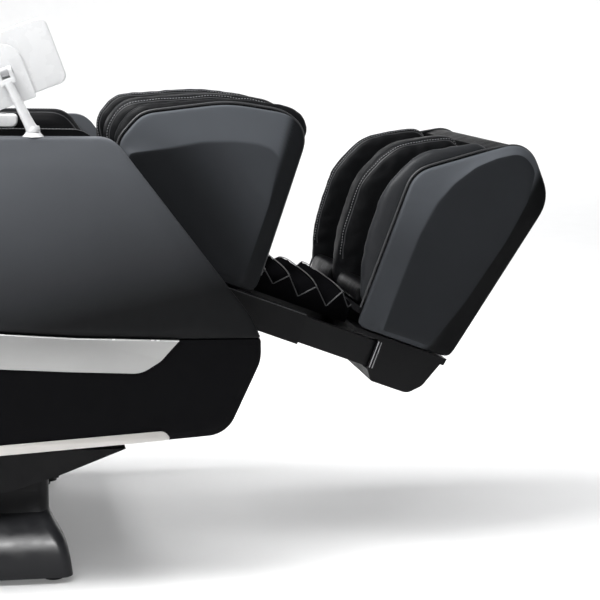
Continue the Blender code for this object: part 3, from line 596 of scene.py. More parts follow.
def press_seams(thing, paths, wrinkle, wrinkle_scale, width=0.0045, depth=0.0022):
    """Sinks the surface along seam lines and gathers the leather a little beside them."""
    mesh = thing.data
    co, no = vertex_values(mesh, "co"), vertex_values(mesh, "normal")
    nearest = np.empty(len(co))
    points = np.vstack([even(p, 0.002, closed=False) for p in paths])
    for lo in range(0, len(co), 4000):
        part = co[lo:lo + 4000]
        d2 = (np.sum(part ** 2, 1)[:, None] - 2 * part @ points.T
              + np.sum(points ** 2, 1)[None])
        nearest[lo:lo + 4000] = np.sqrt(np.maximum(d2.min(1), 0))
    sink = depth * np.exp(-(nearest / width) ** 2)
    near = np.exp(-(nearest / 0.022) ** 2)
    wave = np.array([noise.noise(Vector(c) * wrinkle_scale) for c in co])
    wave = wrinkle * wave * (0.35 + near)
    co = co + no * (wave - sink)[:, None]
    mesh.vertices.foreach_set("co", co.ravel())
    mesh.update()


def refine(node, mat, bevel):
    """A CAD node whose shape is right: its own mesh, with softened edges and a real finish."""
    thing = nodes[node]
    thing.data.materials.clear()
    thing.data.materials.append(mat)
    if bevel:
        edge = thing.modifiers.new("edges", "BEVEL")
        edge.width, edge.segments = bevel, 2
        edge.limit_method, edge.angle_limit = "ANGLE", math.radians(40)
        edge.harden_normals = True


def mirrored(make):
    """Runs a maker for the right (-y) and the left (+y) side."""
    for suffix, side in SIDES:
        make(suffix, side)


def swapped(place):
    """A place for outlines in y-z that are extruded along x."""
    return lambda p: place(np.asarray(p)[:, [1, 0, 2]])


# --- Side panels, strips and arm pads ----------------------------------------------------------
SEAM = [(0.4465, 0.4215), (0.312, 0.4225), (0.147, 0.4285), (0.027, 0.437), (-0.25, 0.452)]
REAR_RADIUS = 0.38


def rear_arc(start, end, count=14):
    angles = np.radians(np.linspace(start, end, count))
    return [(HIP[0] + REAR_RADIUS * math.cos(a), HIP[1] + REAR_RADIUS * math.sin(a))
            for a in angles]


UPPER = [(0.43, 0.457, 0.06), *SEAM, *rear_arc(174, 121), (0.207, 0.746, 0.045)]
UPPER_FACET = [(0.388, 0.452, 0.05), (0.26, 0.4345), (-0.25, 0.466), (-0.545, 0.5, 0.05),
               (-0.375, 0.7, 0.05), (0.214, 0.7, 0.05)]
LOWER_EDGE = [*rear_arc(174.3, 190, 5), (-0.575, 0.315, 0.05), (-0.47, 0.258, 0.08),
              (-0.3, 0.2375, 0.2), (0.024, 0.2375), (0.3, 0.2555), (0.392, 0.262, 0.05),
              (0.4475, 0.385, 0.06), *[(x, z - 0.001) for x, z in SEAM]]
LOWER_FACET = [(-0.575, 0.44, 0.02), (-0.555, 0.34, 0.06), (-0.44, 0.27, 0.08),
               (-0.3, 0.2475), (0.024, 0.2475), (0.3, 0.268), (0.382, 0.275, 0.05),
               (0.43, 0.385, 0.06), (0.428, 0.413), (0.1, 0.422)]


def side_lean(xz):
    rise = np.clip((xz[:, 1] - 0.52) / 0.226, 0, 1)
    return -0.01 * rise ** 2


def side_panels(suffix, side):
    upper = panel(f"side_panel_{suffix}", UPPER, UPPER_FACET, (-0.08, 0.58), 0.335, 0.3835,
                  0.3875, side, CHARCOAL_PAINTED_SHADE, "seat", in_seat, rim=0.005, soft=0.012,
                  lean=side_lean, spacing=0.006, slot="charcoal_shell")
    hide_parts(f"side_shell_{suffix}")
    lower = panel(f"lower_panel_{suffix}", LOWER_EDGE, LOWER_FACET, (-0.06, 0.335), 0.335,
                  0.3835, 0.387, side, LOWER, "seat", in_seat, rim=0.005, soft=0.008,
                  spacing=0.006, slot="black_shell")
    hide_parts(f"side_lower_{suffix}")


# A lighter copy of the charcoal leatherette for the side panels, darker towards the bottom:
# painted shade for light falling from above.
CHARCOAL_PAINTED_SHADE = material("charcoal_side_panel", (0.104, 0.11, 0.121), 0.55, grain=0.1,
                         grain_scale=900, spread=0.04, specular=0.12,
                         painted_shade_ramp=((-0.22, 0, 1), 0.42, 0.7, 0.05))
mirrored(side_panels)

WIDE_TOP = [(0.311, 0.4213), (0.147, 0.4275), (0.027, 0.436), (-0.25, 0.451),
            (-0.52, 0.4565)]
WIDE = [*WIDE_TOP, (-0.49, 0.414, 0.01), (-0.25, 0.394), (0.026, 0.38),
        (0.131, 0.3735), (0.25, 0.368, 0.045), (0.282, 0.388, 0.03)]
LOW = [(0.288, 0.272, 0.014), (0.3, 0.257, 0.004), (0.229, 0.252), (0.024, 0.239),
       (-0.3, 0.239), (-0.4, 0.25, 0.006), (-0.385, 0.268, 0.006),
       (-0.3, 0.256), (0.024, 0.2555)]


def strips(suffix, side):
    ys = sorted((side * 0.3872, side * 0.39))
    wide = slab(f"silver_strip_{suffix}", WIDE, *ys, SILVER, "seat", rim=0.0009,
                slot="silver_trim")
    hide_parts(f"wide_trim_{suffix}")
    low = slab(f"low_strip_{suffix}", LOW, *ys, CHAMPAGNE, "seat", rim=0.0009,
               slot="champagne_trim")
    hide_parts(f"low_trim_{suffix}")
    # A bead along the strip's top edge in the lighter silver: the edge is real, its brightness a
    # painted highlight.
    top = even(np.array(WIDE_TOP), 0.01, closed=False)
    edge = at_y(top - (0, 0.0008), side * 0.3887)
    tube(f"silver_edge_{suffix}", edge, 0.0015, SILVER_EDGE_HIGHLIGHT, "seat", sides=8,
         slot="silver_trim")


mirrored(strips)

ARM = [(0.168, 0.7565, 0.045), (0.35, 0.5, 0.05), (0.34, 0.4, 0.02),
       (-0.54, 0.4, 0.02), (-0.56, 0.5, 0.05), (-0.35, 0.7565, 0.05)]
ARM_FACET = [(0.15, 0.735, 0.04), (0.32, 0.5, 0.05), (0.31, 0.425, 0.02),
             (-0.51, 0.425, 0.02), (-0.53, 0.5, 0.05), (-0.345, 0.735, 0.05)]


def arm_pads(suffix, side):
    def place(p):
        x, y, z = np.asarray(p, float).T
        return np.stack((x, side * (0.3345 - y), z), 1)

    pad = panel(f"arm_leather_{suffix}", ARM, ARM_FACET, (-0.09, 0.57), 0.0, 0.04, 0.049, 1,
                SOFT_LEATHER, "seat", place, rim=0.016, soft=0.012, spacing=0.007,
                slot="seat_foam")
    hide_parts(f"arm_pad_{suffix}")
    bvh = tree(pad)
    line = even(outline(ARM), 0.008)
    order = sorted(range(len(line)), key=lambda i: line[i][0])
    top = np.array([line[i] for i in order if line[i][1] > 0.62])
    path = at_y(top, side * 0.328)
    seam = drape(bvh, path, [(0, 0, -1)] * len(path), lift=0.0002)
    stitches(f"arm_stitches_{suffix}", smoothed(seam, 3, closed=False), "seat")
    inner = path.copy()
    inner[:, 1] = side * 0.294
    seam = drape(bvh, inner, [(0, 0, -1)] * len(inner))
    tube(f"arm_piping_{suffix}", smoothed(seam, 3, closed=False), 0.0014, PIPING, "seat",
         sides=8)


mirrored(arm_pads)


# --- Legrest -----------------------------------------------------------------------------------
CALF = [(-0.055, 0.072, 0.01), (0.1855, 0.072, 0.01), (0.174, 0.368, 0.045),
        (0.125, 0.376, 0.05), (0.03, 0.357, 0.2), (-0.1, 0.29, 0.04), (-0.121, 0.235, 0.03)]
CALF_FACET = [(-0.1, 0.222), (-0.036, 0.253), (0.009, 0.28), (0.057, 0.299),
              (0.095, 0.309), (0.12, 0.31), (0.138, 0.301, 0.006), (0.15, 0.224),
              (0.153, 0.12), (0.152, 0.084), (-0.047, 0.084)]
CALF_PAD = [(-0.06, 0.0905, 0.01), (0.184, 0.0905, 0.005), (0.176, 0.39, 0.035),
            (0.12, 0.39, 0.12), (0.03, 0.368, 0.2), (-0.118, 0.3, 0.045),
            (-0.135, 0.245, 0.03)]
FOOT = [(0.3765, 0.0768, 0.004), (0.554, 0.0768, 0.006), (0.6225, 0.4, 0.06),
        (0.547, 0.483, 0.045), (0.376, 0.3605, 0.05)]
FOOT_FACET = [(0.418, 0.083), (0.419, 0.185), (0.42, 0.261), (0.429, 0.322),
              (0.444, 0.364), (0.47, 0.405), (0.499, 0.432), (0.54, 0.458, 0.03),
              (0.574, 0.436, 0.02), (0.579, 0.38), (0.567, 0.3), (0.54, 0.189),
              (0.506, 0.083)]
FOOT_PAD = [(0.3685, 0.1114), (0.5412, 0.0916), (0.602, 0.397, 0.045),
            (0.5415, 0.461, 0.033), (0.507, 0.43), (0.493, 0.4435),
            (0.48, 0.456, 0.03), (0.372, 0.395, 0.09), (0.338, 0.315, 0.08),
            (0.342, 0.22, 0.1), (0.36, 0.125, 0.01)]


def ramp(value, low, high):
    t = np.clip((value - low) / (high - low), 0, 1)
    return t * t * (3 - 2 * t)


# Painted light and shade for the calf panel: its bands lighter towards the top, a near-black
# painted shade on the end band and the low part, the facet lighter towards its upper end.
def calf_shade(xz, band):
    x, z = xz.T
    top = ramp(z, 0.05, 0.3) * (0.45 + 0.55 * ramp(z - 0.25 * x, 0.1, 0.3))
    end = ramp(x + 0.06 * z, 0.15, 0.168)
    ring = np.where(z > 0.12, top, 0.2) * (1 - end) + 0.12 * end
    face = 0.18 + 0.42 * ramp(z + 0.7 * x, 0.2, 0.37)
    return np.where(band, ring, face)


# Painted light and shade for the foot panel: its bands lighter towards the top, a near-black
# painted shade on the sole band, the facet a little lighter towards the top.
def foot_shade(xz, band):
    x, z = xz.T
    sole = ramp(x - 0.222 * (z - 0.1), 0.495, 0.52)
    ring = (0.45 + 0.55 * ramp(z, 0.2, 0.42)) * (1 - sole) + 0.035 * sole
    face = 0.21 + 0.06 * ramp(z, 0.12, 0.42)
    return np.where(band, ring, face)


def leg_panels(suffix, side):
    calf = panel(f"calf_panel_{suffix}", CALF, CALF_FACET, (0.045, 0.215), 0.2325, 0.243,
                 0.257, side, CHARCOAL, "legrest", in_leg, rim=0.004, soft=0.007, rounds=8,
                 slot="charcoal_shell", shade=calf_shade)
    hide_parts(f"calf_shell_{suffix}")
    foot = panel(f"foot_panel_{suffix}", FOOT, FOOT_FACET, (0.495, 0.26), 0.2305, 0.2425,
                 0.257, side, CHARCOAL, "footrest", in_leg, rim=0.004, soft=0.007, rounds=8,
                 slot="charcoal_shell", shade=foot_shade)
    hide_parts(f"foot_shell_{suffix}")
    for kind, corners, body, low, reach, y in (
            ("calf", CALF, "legrest", 0.1, 0.1, 0.2352),
            ("foot", FOOT, "footrest", 0.106, 0.47, 0.2332)):
        p = smoothed(even(outline(corners), 0.004), 8)
        p = p + normals_2d(p) * (0.0004 + 0.004 * ramp(p[:, :1], reach + 0.05, reach))
        start = next(i for i in range(len(p)) if p[i][1] < low and p[i - 1][1] >= low)
        p = np.roll(p, -start, 0)
        p = p[p[:, 1] > low]
        jumps = np.linalg.norm(np.diff(p, axis=0), axis=1)
        cut = int(np.argmax(jumps)) + 1 if jumps.max() > 0.02 else 0
        p = np.roll(p, -cut, 0)
        tube(f"{kind}_panel_piping_{suffix}", at_y(p, side * y), 0.0021, PIPING, body, in_leg,
             sides=8)


mirrored(leg_panels)


def wall_pad(name, corners, ys, body, rims, seams, exposed, wrinkle, mat, replaced):
    """A stuffed leather wall: an x-z outline between two values of y, with sewn edges."""
    low, high = ys
    p = smoothed(even(outline(corners), 0.005), 10)
    swell = smoothed(np.array([[0.0028 if exposed(q) else -0.003] for q in p]), 12)
    grown = p + normals_2d(p) * swell
    pad = loft(name, rim_rings(grown, low + 0.001, high - 0.001, rims, 5), mat, body,
               in_leg, slot="seat_foam")
    stuffed(pad, mat, 0.0055, 0.0035)
    n = normals_2d(p)
    mask = np.array([exposed(q) for q in p])
    start = next(i for i in range(len(p)) if mask[i] and not mask[i - 1])
    order = [k % len(p) for k in range(start, start + len(p)) if mask[k % len(p)]]
    paths = []
    for y in seams:
        inward = in_leg(at_y(-n[order], 0.0)) - in_leg(np.zeros((1, 3)))
        paths.append((in_leg(at_y(p[order], y)), inward))
    bvh = tree(pad)
    sewn = [smoothed(drape(bvh, a, b), 6, closed=False) for a, b in paths]
    press_seams(pad, sewn, wrinkle=wrinkle, wrinkle_scale=55)
    bvh = tree(pad)
    for i, (a, b) in enumerate(paths):
        line = smoothed(drape(bvh, sewn[i], b, lift=-0.0002), 2, closed=False)
        tube(f"{name}_seam_{i}", line, 0.0014, PIPING, body, sides=6)
        beside = line.copy()
        beside[:, 1] += 0.0035 if a[0][1] <= (low + high) / 2 else -0.0035
        row = drape(bvh, beside, b)
        stitches(f"{name}_stitches_{i}", smoothed(row, 2, closed=False), body)
    if replaced:
        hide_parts(replaced)


def calf_exposed(q):
    return q[1] > 0.2


def foot_exposed(q):
    return q[0] < 0.485 + 0.1 * (q[1] - 0.44) and q[1] > 0.16 or q[1] > 0.44


# The near foot wall takes the lighter leather as painted light; the other walls keep the darker
# soft leather.
for kind, corners, body, exposed, wrinkle, near, inner, outer, seam, half, ridge, rims in (
        ("calf", CALF_PAD, "legrest", calf_exposed, 0.0009, SOFT_LEATHER,
         0.2035, 0.2318, 0.2085, 0.04, 0.031, 0.02),
        ("foot", FOOT_PAD, "footrest", foot_exposed, 0.0011, WALL_LEATHER_PAINTED_LIGHT,
         0.199, 0.2298, 0.2045, 0.036, 0.028, 0.018)):
    for wall, ys, seams, rim, mat, replaced in (
            ("right", (-outer, -inner), (-seam,), 0.011, near, None),
            ("middle", (-half, half), (-ridge, ridge), rims, SOFT_LEATHER, f"{kind}_liner"),
            ("left", (inner, outer), (seam,), 0.011, SOFT_LEATHER, None)):
        wall_pad(f"{kind}_wall_{wall}", corners, ys, body, rim, seams, exposed, wrinkle, mat,
                 replaced)


def well_pads(suffix, side):
    half, middle = 0.0825, 0.1225
    rings = []
    for x in np.linspace(-0.08, 0.178, 60):
        cell = abs(math.sin(math.pi * (x + 0.08) / 0.086)) ** 0.4
        across = np.linspace(-half, half, 25)
        top = 0.1525 + half - np.sqrt(np.maximum(half ** 2 - across ** 2, 0))
        top = np.minimum(top, 0.232) - 0.006 * (1 - cell)
        under = 0.0925 + max(0.0, -0.058 - x) * 2.06
        ring = [(x, side * middle + a, t) for a, t in zip(across, top)]
        ring += [(x, side * middle + half, under), (x, side * middle - half, under)]
        rings.append(np.array(ring))
    floor = loft(f"calf_well_lining_{suffix}", rings, LEATHER, "legrest", in_leg,
                 slot="seat_foam")
    ys = sorted((side * 0.0365, side * 0.1985))
    heel = slab(f"heel_pad_{suffix}", [(0.366, 0.1125), (0.532, 0.094), (0.512, 0.136, 0.012),
                                       (0.46, 0.144), (0.363, 0.148, 0.012)],
                *ys, LEATHER, "footrest", in_leg, rim=0.004, rounds=2, slot="seat_foam")
    rings = []
    for z in np.linspace(0.14, 0.436, 60):
        cell = abs(math.sin(math.pi * (z - 0.14) / 0.074)) ** 0.4
        face = 0.508 + 0.2222 * (z - 0.135) + 0.004 * (1 - cell)
        if z > 0.405:
            face -= (z - 0.405) * 0.9
        back = min(0.544 + 0.2 * (z - 0.105), 0.602 - max(0, z - 0.385) * 1.05)
        ring = []
        for a in np.linspace(ys[0], ys[1], 17):
            u = (a - ys[0]) / (ys[1] - ys[0])
            ring.append((face - 0.01 * (2 * u - 1) ** 4 + 0.002, a, z))
        ring += [(back, ys[1], z), (back, ys[0], z)]
        rings.append(np.array(ring))
    sole = loft(f"sole_pad_{suffix}", rings, LEATHER, "footrest", in_leg, slot="seat_foam")


mirrored(well_pads)

housing = [(0.368, 0.0985), (0.5525, 0.0785, 0.006), (0.62, 0.4, 0.06),
           (0.545, 0.482, 0.045), (0.498, 0.4468), (0.504, 0.436), (0.543, 0.466, 0.036),
           (0.607, 0.397, 0.05), (0.5435, 0.0895), (0.368, 0.1095)]
sole_cover = slab("foot_cover", housing, -0.2302, 0.2302, MATT, "footrest", in_leg, rim=0.001,
                  slot="black_shell")
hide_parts("foot_housing")

# --- Bellows -----------------------------------------------------------------------------------
EDGE_FOLDS = np.array([(0.1865, 0.092), (0.199, 0.11), (0.22, 0.092), (0.243, 0.115),
                       (0.27, 0.086), (0.296, 0.113), (0.324, 0.086), (0.343, 0.12),
                       (0.362, 0.097), (0.3665, 0.104)])
MIDDLE_FOLDS = EDGE_FOLDS * [1, 0] + np.array(
    [(0, 0.096), (0, 0.117), (0, 0.099), (0, 0.121), (0, 0.096), (0, 0.121), (0, 0.096),
     (0, 0.124), (0, 0.102), (0, 0.108)])
HALF_BELLOWS = 0.19


def bellows():
    across = np.linspace(-HALF_BELLOWS, HALF_BELLOWS, 64)
    rows = []
    for y in across:
        w = (abs(y) / HALF_BELLOWS) ** 4
        fold = EDGE_FOLDS * w + MIDDLE_FOLDS * (1 - w)
        line = []
        for a, b in zip(fold[:-1], fold[1:]):
            for t in np.linspace(0, 1, 7)[:-1]:
                line.append(a + (b - a) * t)
        line = np.array([*line, fold[-1]])
        rows.append(smoothed(line, 1, closed=False))
    rows = np.array(rows)
    bm = bmesh.new()
    grid = []
    for j, y in enumerate(across):
        points = at_y(rows[j], y)
        for k, q in enumerate(points):
            q[2] += 0.0016 * noise.noise(Vector((q[0] * 60, q[1] * 28, 3.0)))
            q[0] += 0.0012 * noise.noise(Vector((q[0] * 40, q[1] * 40, 9.0)))
        grid.append([bm.verts.new(v) for v in in_leg(points)])
    for y, row in ((-HALF_BELLOWS, grid[0]), (HALF_BELLOWS, grid[-1])):
        hem = np.stack((rows[0][:, 0], np.full(len(rows[0]), y),
                        np.full(len(rows[0]), 0.0705)), 1)
        hem = [bm.verts.new(v) for v in in_leg(hem)]
        for k in range(len(row) - 1):
            bm.faces.new((row[k], row[k + 1], hem[k + 1], hem[k]))
    for a, b in zip(grid[:-1], grid[1:]):
        for k in range(len(a) - 1):
            bm.faces.new((a[k], a[k + 1], b[k + 1], b[k]))
    cloth = finish_mesh("bellows_cloth", bm, FOLDS, "legrest", "bellows_fabric", sharp=70)
    skin = cloth.modifiers.new("skin", "SOLIDIFY")
    skin.thickness, skin.offset = 0.0016, 0
    free(cloth, lambda: apply_all(cloth))
    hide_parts("bellows")
    calf_end = tuple(in_leg([(0.187, 0, 0.1)])[0])
    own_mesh(cloth)
    beads = bmesh.new()
    for k in range(1, len(EDGE_FOLDS) - 1, 2):
        w = (abs(across) / HALF_BELLOWS) ** 4
        xz = EDGE_FOLDS[k] * w[:, None] + MIDDLE_FOLDS[k] * (1 - w[:, None])
        ridge = np.stack((xz[:, 0], across, xz[:, 1] + 0.0004), 1)
        tube_bm(beads, in_leg(ridge), 0.0011, sides=6)
    for side in (-1, 1):
        line = at_y(even(EDGE_FOLDS, 0.003, closed=False), side * HALF_BELLOWS)
        tube_bm(beads, in_leg(line), 0.0012, sides=6)
    piping = finish_mesh("bellows_piping", beads, PIPING, "legrest", "bellows_fabric")
    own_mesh(piping)


bellows()

# --- Seat and back cushions --------------------------------------------------------------------
def cushion(name, rings, place, body, replaced, voxel, cap, seams):
    """A stuffed cushion in place of a CAD node, with seams pressed in along paths."""
    pad = loft(name, rings, SOFT_LEATHER, body, place, slot="seat_foam")
    stuffed(pad, SOFT_LEATHER, voxel, cap)
    bvh = tree(pad)
    sewn = [drape(bvh, path, direction) for path, direction in seams]
    press_seams(pad, sewn, 0.0015, 30, width=0.008, depth=0.006)
    bvh = tree(pad)
    for i, (path, direction) in enumerate(seams):
        line = smoothed(drape(bvh, sewn[i], direction), 3, closed=False)
        tube(f"{name}_seam_{i}", line, 0.001, PIPING, body, sides=6)
    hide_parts(replaced)


def seam_path(start, end, place):
    """A straight path above a cushion, and the way down to it."""
    d = place(np.array([(0, 0, -1)])) - place(np.zeros((1, 3)))
    return place(np.linspace(start, end, 40)), [tuple(d[0])] * 40


seat_line = smoothed(even(outline([(-0.174, 0.378), (0.219, 0.378), (0.219, 0.462, 0.035),
                                   (0.12, 0.484), (-0.174, 0.476, 0.03)]), 0.006), 4)
cushion("seat_leather", rim_rings(seat_line, -0.274, 0.274, 0.022, 5), in_seat, "seat",
        "seat_cushion", 0.009, 0.01,
        [seam_path((x, -0.255, 0.49), (x, 0.255, 0.49), in_seat) for x in (-0.06, 0.06, 0.165)]
        + [seam_path((-0.15, y, 0.49), (0.2, y, 0.49), in_seat) for y in (-0.17, 0.17)])

section = outline([(-0.268, -0.029, 0.01), (-0.268, 0.128, 0.035), (0.268, 0.128, 0.035),
                   (0.268, -0.029, 0.01), (0.2345, -0.029, 0.006), (0.2345, 0.102, 0.01),
                   (-0.2345, 0.102, 0.01), (-0.2345, -0.029, 0.006)])
section = even(section, 0.006)
cushion("back_leather", rim_rings(section, 0.052, BACK_LENGTH - 0.004, 0.012, 4),
        swapped(in_back), "backrest", "back_cushion", 0.009, 0.012,
        [seam_path((s, -0.235, 0.14), (s, 0.235, 0.14), in_back)
         for s in (0.15, 0.25, 0.35, 0.45, 0.55, 0.65, 0.75)]
        + [seam_path((0.08, y, 0.14), (0.82, y, 0.14), in_back) for y in (-0.15, 0.15)])

pillow_line = smoothed(even(outline([(0.65, 0.1375, 0.012), (0.826, 0.1375, 0.012),
                                     (0.826, 0.18, 0.02), (0.65, 0.18, 0.02)]), 0.005), 3)
cushion("pillow_leather", rim_rings(pillow_line, -0.145, 0.145, 0.015, 4), in_back,
        "head_pillow", "head_pillow", 0.006, 0.009,
        [seam_path((s, -0.125, 0.19), (s, 0.125, 0.19), in_back) for s in (0.7, 0.775)])
slab("pillow_flap", [(0.815, 0.1435, 0.0015), (0.8485, 0.1435, 0.003), (0.8485, 0.1495, 0.003),
                     (0.815, 0.1495, 0.0015)],
     -0.12, 0.12, LEATHER, "head_pillow", in_back, rim=0.001, slot="seat_foam")
slab("pillow_strap", [(0.822, 0.108), (0.8485, 0.108), (0.8485, 0.139, 0.002),
                      (0.836, 0.139, 0.002)],
     -0.118, 0.118, LEATHER, "backrest", in_back, rim=0.001, slot="seat_foam")


def wings(suffix, side):
    corners = [(0.42, -0.03, 0.01), (0.42, 0.1, 0.05), (0.5, 0.175, 0.05),
               (0.62, 0.16, 0.04), (0.665, 0.02, 0.04), (0.64, -0.05, 0.02)]
    facet = [(0.445, -0.02, 0.01), (0.445, 0.09, 0.05), (0.51, 0.148, 0.04),
             (0.605, 0.135, 0.03), (0.64, 0.02, 0.03), (0.622, -0.03, 0.02)]

    wing = panel(f"shoulder_panel_{suffix}", corners, facet, (0.54, 0.06), 0.2735, 0.322,
                 0.3335, side, CHARCOAL, "backrest", in_back, rim=0.006, soft=0.008,
                 rounds=6, slot="charcoal_shell")
    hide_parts(f"shoulder_wing_{suffix}")


mirrored(wings)

# --- Base, feet and wheels ---------------------------------------------------------------------
COVER = np.array([(0.011, 0.1435, -0.605, 0.33), (0.034, 0.1405, -0.6035, 0.33),
                  (0.054, 0.136, -0.6005, 0.327), (0.07, 0.1305, -0.5955, 0.32),
                  (0.084, 0.122, -0.589, 0.31), (0.095, 0.114, -0.581, 0.297),
                  (0.103, 0.109, -0.572, 0.285), (0.108, 0.107, -0.565, 0.278)])
TOWER = np.array([(0.1095, 0.1066, -0.387, 0.2735), (0.113, 0.1065, -0.3865, 0.2725),
                  (0.145, 0.1065, -0.381, 0.266), (0.25, 0.1065, -0.38, 0.262)])
WALL = 0.004


def cover_ring(row, inset):
    z, front, rear, half = row
    x0, x1, y = rear + inset, front - inset, half - inset
    cheek = half - 0.06 + inset
    inner = cheek - 0.015
    hollow = 0.01 + inset
    corners = [(x0, -y, 0.055 - inset), (x1, -y, 0.02 - inset), (x1, -cheek, 0.02 - inset),
               (x1 - 0.05, -inner, hollow), (x1 - 0.05, inner, hollow),
               (x1, cheek, 0.02 - inset), (x1, y, 0.02 - inset), (x0, y, 0.055 - inset)]
    p = outline(corners, math.radians(9))
    return np.stack((p[:, 0], p[:, 1], np.full(len(p), z)), 1)


skirt = smoothed(even(COVER, 0.004, closed=False), 4, closed=False)
sections = np.vstack((skirt, TOWER))
rings = [cover_ring(row, 0) for row in sections]
rings += [cover_ring(row, WALL) for row in sections[::-2]]
cover = loft("base_moulding", rings, GLOSS, "base", loop=True, slot="gloss_shell", sharp=35)
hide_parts("base_cover")

for place, x in (("front", 0.112), ("rear", -0.575)):
    for suffix, side in SIDES:
        foot = lathe(f"foot_disc_{place}_{suffix}",
                     [(0, 0), (0.0165, 0), (0.0182, 0.0012), (0.0185, 0.003), (0.0185, 0.0085),
                      (0.0178, 0.01), (0.012, 0.0104), (0, 0.0104)],
                     (x, side * 0.29, 0), (0, 0, 1), RUBBER, "base", slot="black_rubber")
        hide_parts(f"foot_{place}_{suffix}")
for suffix, side in SIDES:
    wheel = lathe(f"wheel_tyre_{suffix}",
                  [(0.0055, -0.009), (0.019, -0.009), (0.0222, -0.0068), (0.023, -0.003),
                   (0.023, 0.003), (0.0222, 0.0068), (0.019, 0.009), (0.0055, 0.009)],
                  (-0.5, side * 0.265, 0.0255), (0, 1, 0), RUBBER, f"wheel_{suffix}",
                  slot="black_rubber")
    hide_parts(f"wheel_{suffix}")
    lathe(f"wheel_hub_{suffix}",
          [(0.0056, 0), (0.012, 0), (0.0135, 0.0006), (0.0125, 0.0014), (0.0056, 0.0018)],
          (-0.5, side * 0.2742, 0.0255), (0, side, 0), GREY, f"wheel_{suffix}",
          slot="grey_plastic")

for suffix, side in SIDES:
    for i, (x, z0, z1) in enumerate(((0.119, 0.168, 0.192), (0.133, 0.182, 0.2005))):
        ys = sorted((side * 0.262, side * 0.276))
        slab(f"cable_tab_{i}_{suffix}", [(x - 0.0035, z0, 0.0015), (x + 0.0035, z0, 0.0015),
                                         (x + 0.0035, z1), (x - 0.0035, z1)],
             *ys, MATT, "seat", rim=0.001)

for mat, bevels in (
        (STEEL, {"base_frame": 0.0012, "tilt_motor": 0.0015, "seat_frame": 0, "leg_motor": 0.0015,
                 "back_motor": 0.0015, "back_frame": 0, "carriage": 0.001}),
        (GREY, {"roller_arm_r": 0.0006, "roller_arm_l": 0.0006}),
        (RUBBER, {"roller_low_r": 0, "roller_low_l": 0, "roller_high_r": 0, "roller_high_l": 0,
                  "sole_roller": 0, "power_switch": 0}),
        (GLOSS, {"foot_rails": 0.0008}),
        (MATT, {"leg_frame": 0.001, "calf_tray": 0.0015, "foot_base": 0.0012, "belly_cover": 0,
                "back_shell": 0, "power_box": 0})):
    for name, bevel in bevels.items():
        refine(name, mat, bevel)

# --- Control pod and button --------------------------------------------------------------------
pod = slab("pod_shell", [(-0.035, 0.7225, 0.009), (0.072, 0.7225, 0.013), (0.072, 0.749, 0.008),
                         (-0.035, 0.749, 0.006)],
           0.2662, 0.2843, WHITE, "seat", rim=0.004, count=5, slot="white_plastic")
well = lathe("pod_button_well", [(0, 0), (0.0064, 0), (0.0064, 0.01), (0, 0.01)],
             (*BUTTON_XY, 0.743), (0, 0, 1), WHITE, "seat")
hole = pod.modifiers.new("hole", "BOOLEAN")
hole.object = well
hole.solver = "EXACT"
apply_all(pod)
bpy.data.objects.remove(well)
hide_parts("control_pod")
button = lathe("pod_button_cap", [(0, 0), (0.0056, 0), (0.0058, 0.0006), (0.0058, 0.0022),
                                  (0.0052, 0.003), (0.003, 0.0026), (0, 0.0025)],
               (*BUTTON_XY, 0.7478), (0, 0, 1), GREY, "pod_button", slot="grey_plastic")
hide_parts("pod_button")
lathe("pod_button_ring", [(0.0063, 0), (0.0078, 0), (0.008, 0.0006), (0.0074, 0.001),
                          (0.0063, 0.0008)],
      (*BUTTON_XY, 0.7488), (0, 0, 1), KNUCKLE, "seat")

# --- Remote ------------------------------------------------------------------------------------
socket = lathe("stalk_flange", [(0, 0.0002), (0.017, 0.0002), (0.0171, 0.001),
                                (0.0155, 0.0022), (0.0132, 0.005), (0.012, 0.007),
                                (0, 0.0072)],
               (*STALK_XY, 0.746), (0, 0, 1), WHITE, "seat", slot="white_plastic")
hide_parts("remote_socket")

FORK_ROOT = in_remote([(0, -0.004, -0.016)])[0]
STALK_FOOT = np.array([*STALK_XY, 0.754])
stalk_steps = np.linspace(0, 1, 26)
stalk_radii = [0.0092 - 0.0026 * min(1, t * 1.2) + 0.0012 * math.exp(-((t - 0.04) / 0.05) ** 2)
               for t in stalk_steps]
stalk = tube("stalk", [STALK_FOOT + (FORK_ROOT - STALK_FOOT) * t for t in stalk_steps],
             np.array(stalk_radii), WHITE, "remote_stalk", sides=28, slot="white_plastic")
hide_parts("remote_stalk")
lathe("stalk_collar", [(0, 0.0), (0.0112, 0.0), (0.0116, 0.0012), (0.0108, 0.006),
                       (0.0096, 0.0098), (0, 0.0105)],
      (*STALK_XY, 0.7536), (0, 0, 1), WHITE, "remote_stalk", slot="white_plastic")


def remote_slab(name, corners, low, high, body, rim, mat=WHITE, place=in_remote, count=3):
    return slab(name, corners, low, high, mat, body, place, rim, count, slot="white_plastic")


EAR_RADIUS = 0.0077
EAR = np.array([*[(EAR_RADIUS * math.cos(a), EAR_RADIUS * math.sin(a))
                  for a in np.radians(np.linspace(200, -20, 24))],
                (0.0052, -0.0195), (-0.0072, -0.0195)])
for ear, x in (("a", -0.0126), ("b", 0.0066)):
    remote_slab(f"fork_ear_{ear}", EAR, x, x + 0.006, "remote_stalk", 0.0008,
                place=swapped(in_remote))
remote_slab("fork_bridge", box(-0.011, -0.0198, 0.011, -0.0105, 0.002), -0.0073, 0.0053,
            "remote_stalk", 0.001)
TILT_AXIS = tuple(in_remote([(1, 0, 0)])[0] - in_remote([(0, 0, 0)])[0])
lathe("knuckle_barrel", [(0, -0.0061), (0.0068, -0.0061), (0.0074, -0.0054), (0.0074, 0.0054),
                         (0.0068, 0.0061), (0, 0.0061)],
      REMOTE, TILT_AXIS, KNUCKLE, "remote_holder", slot="white_plastic")
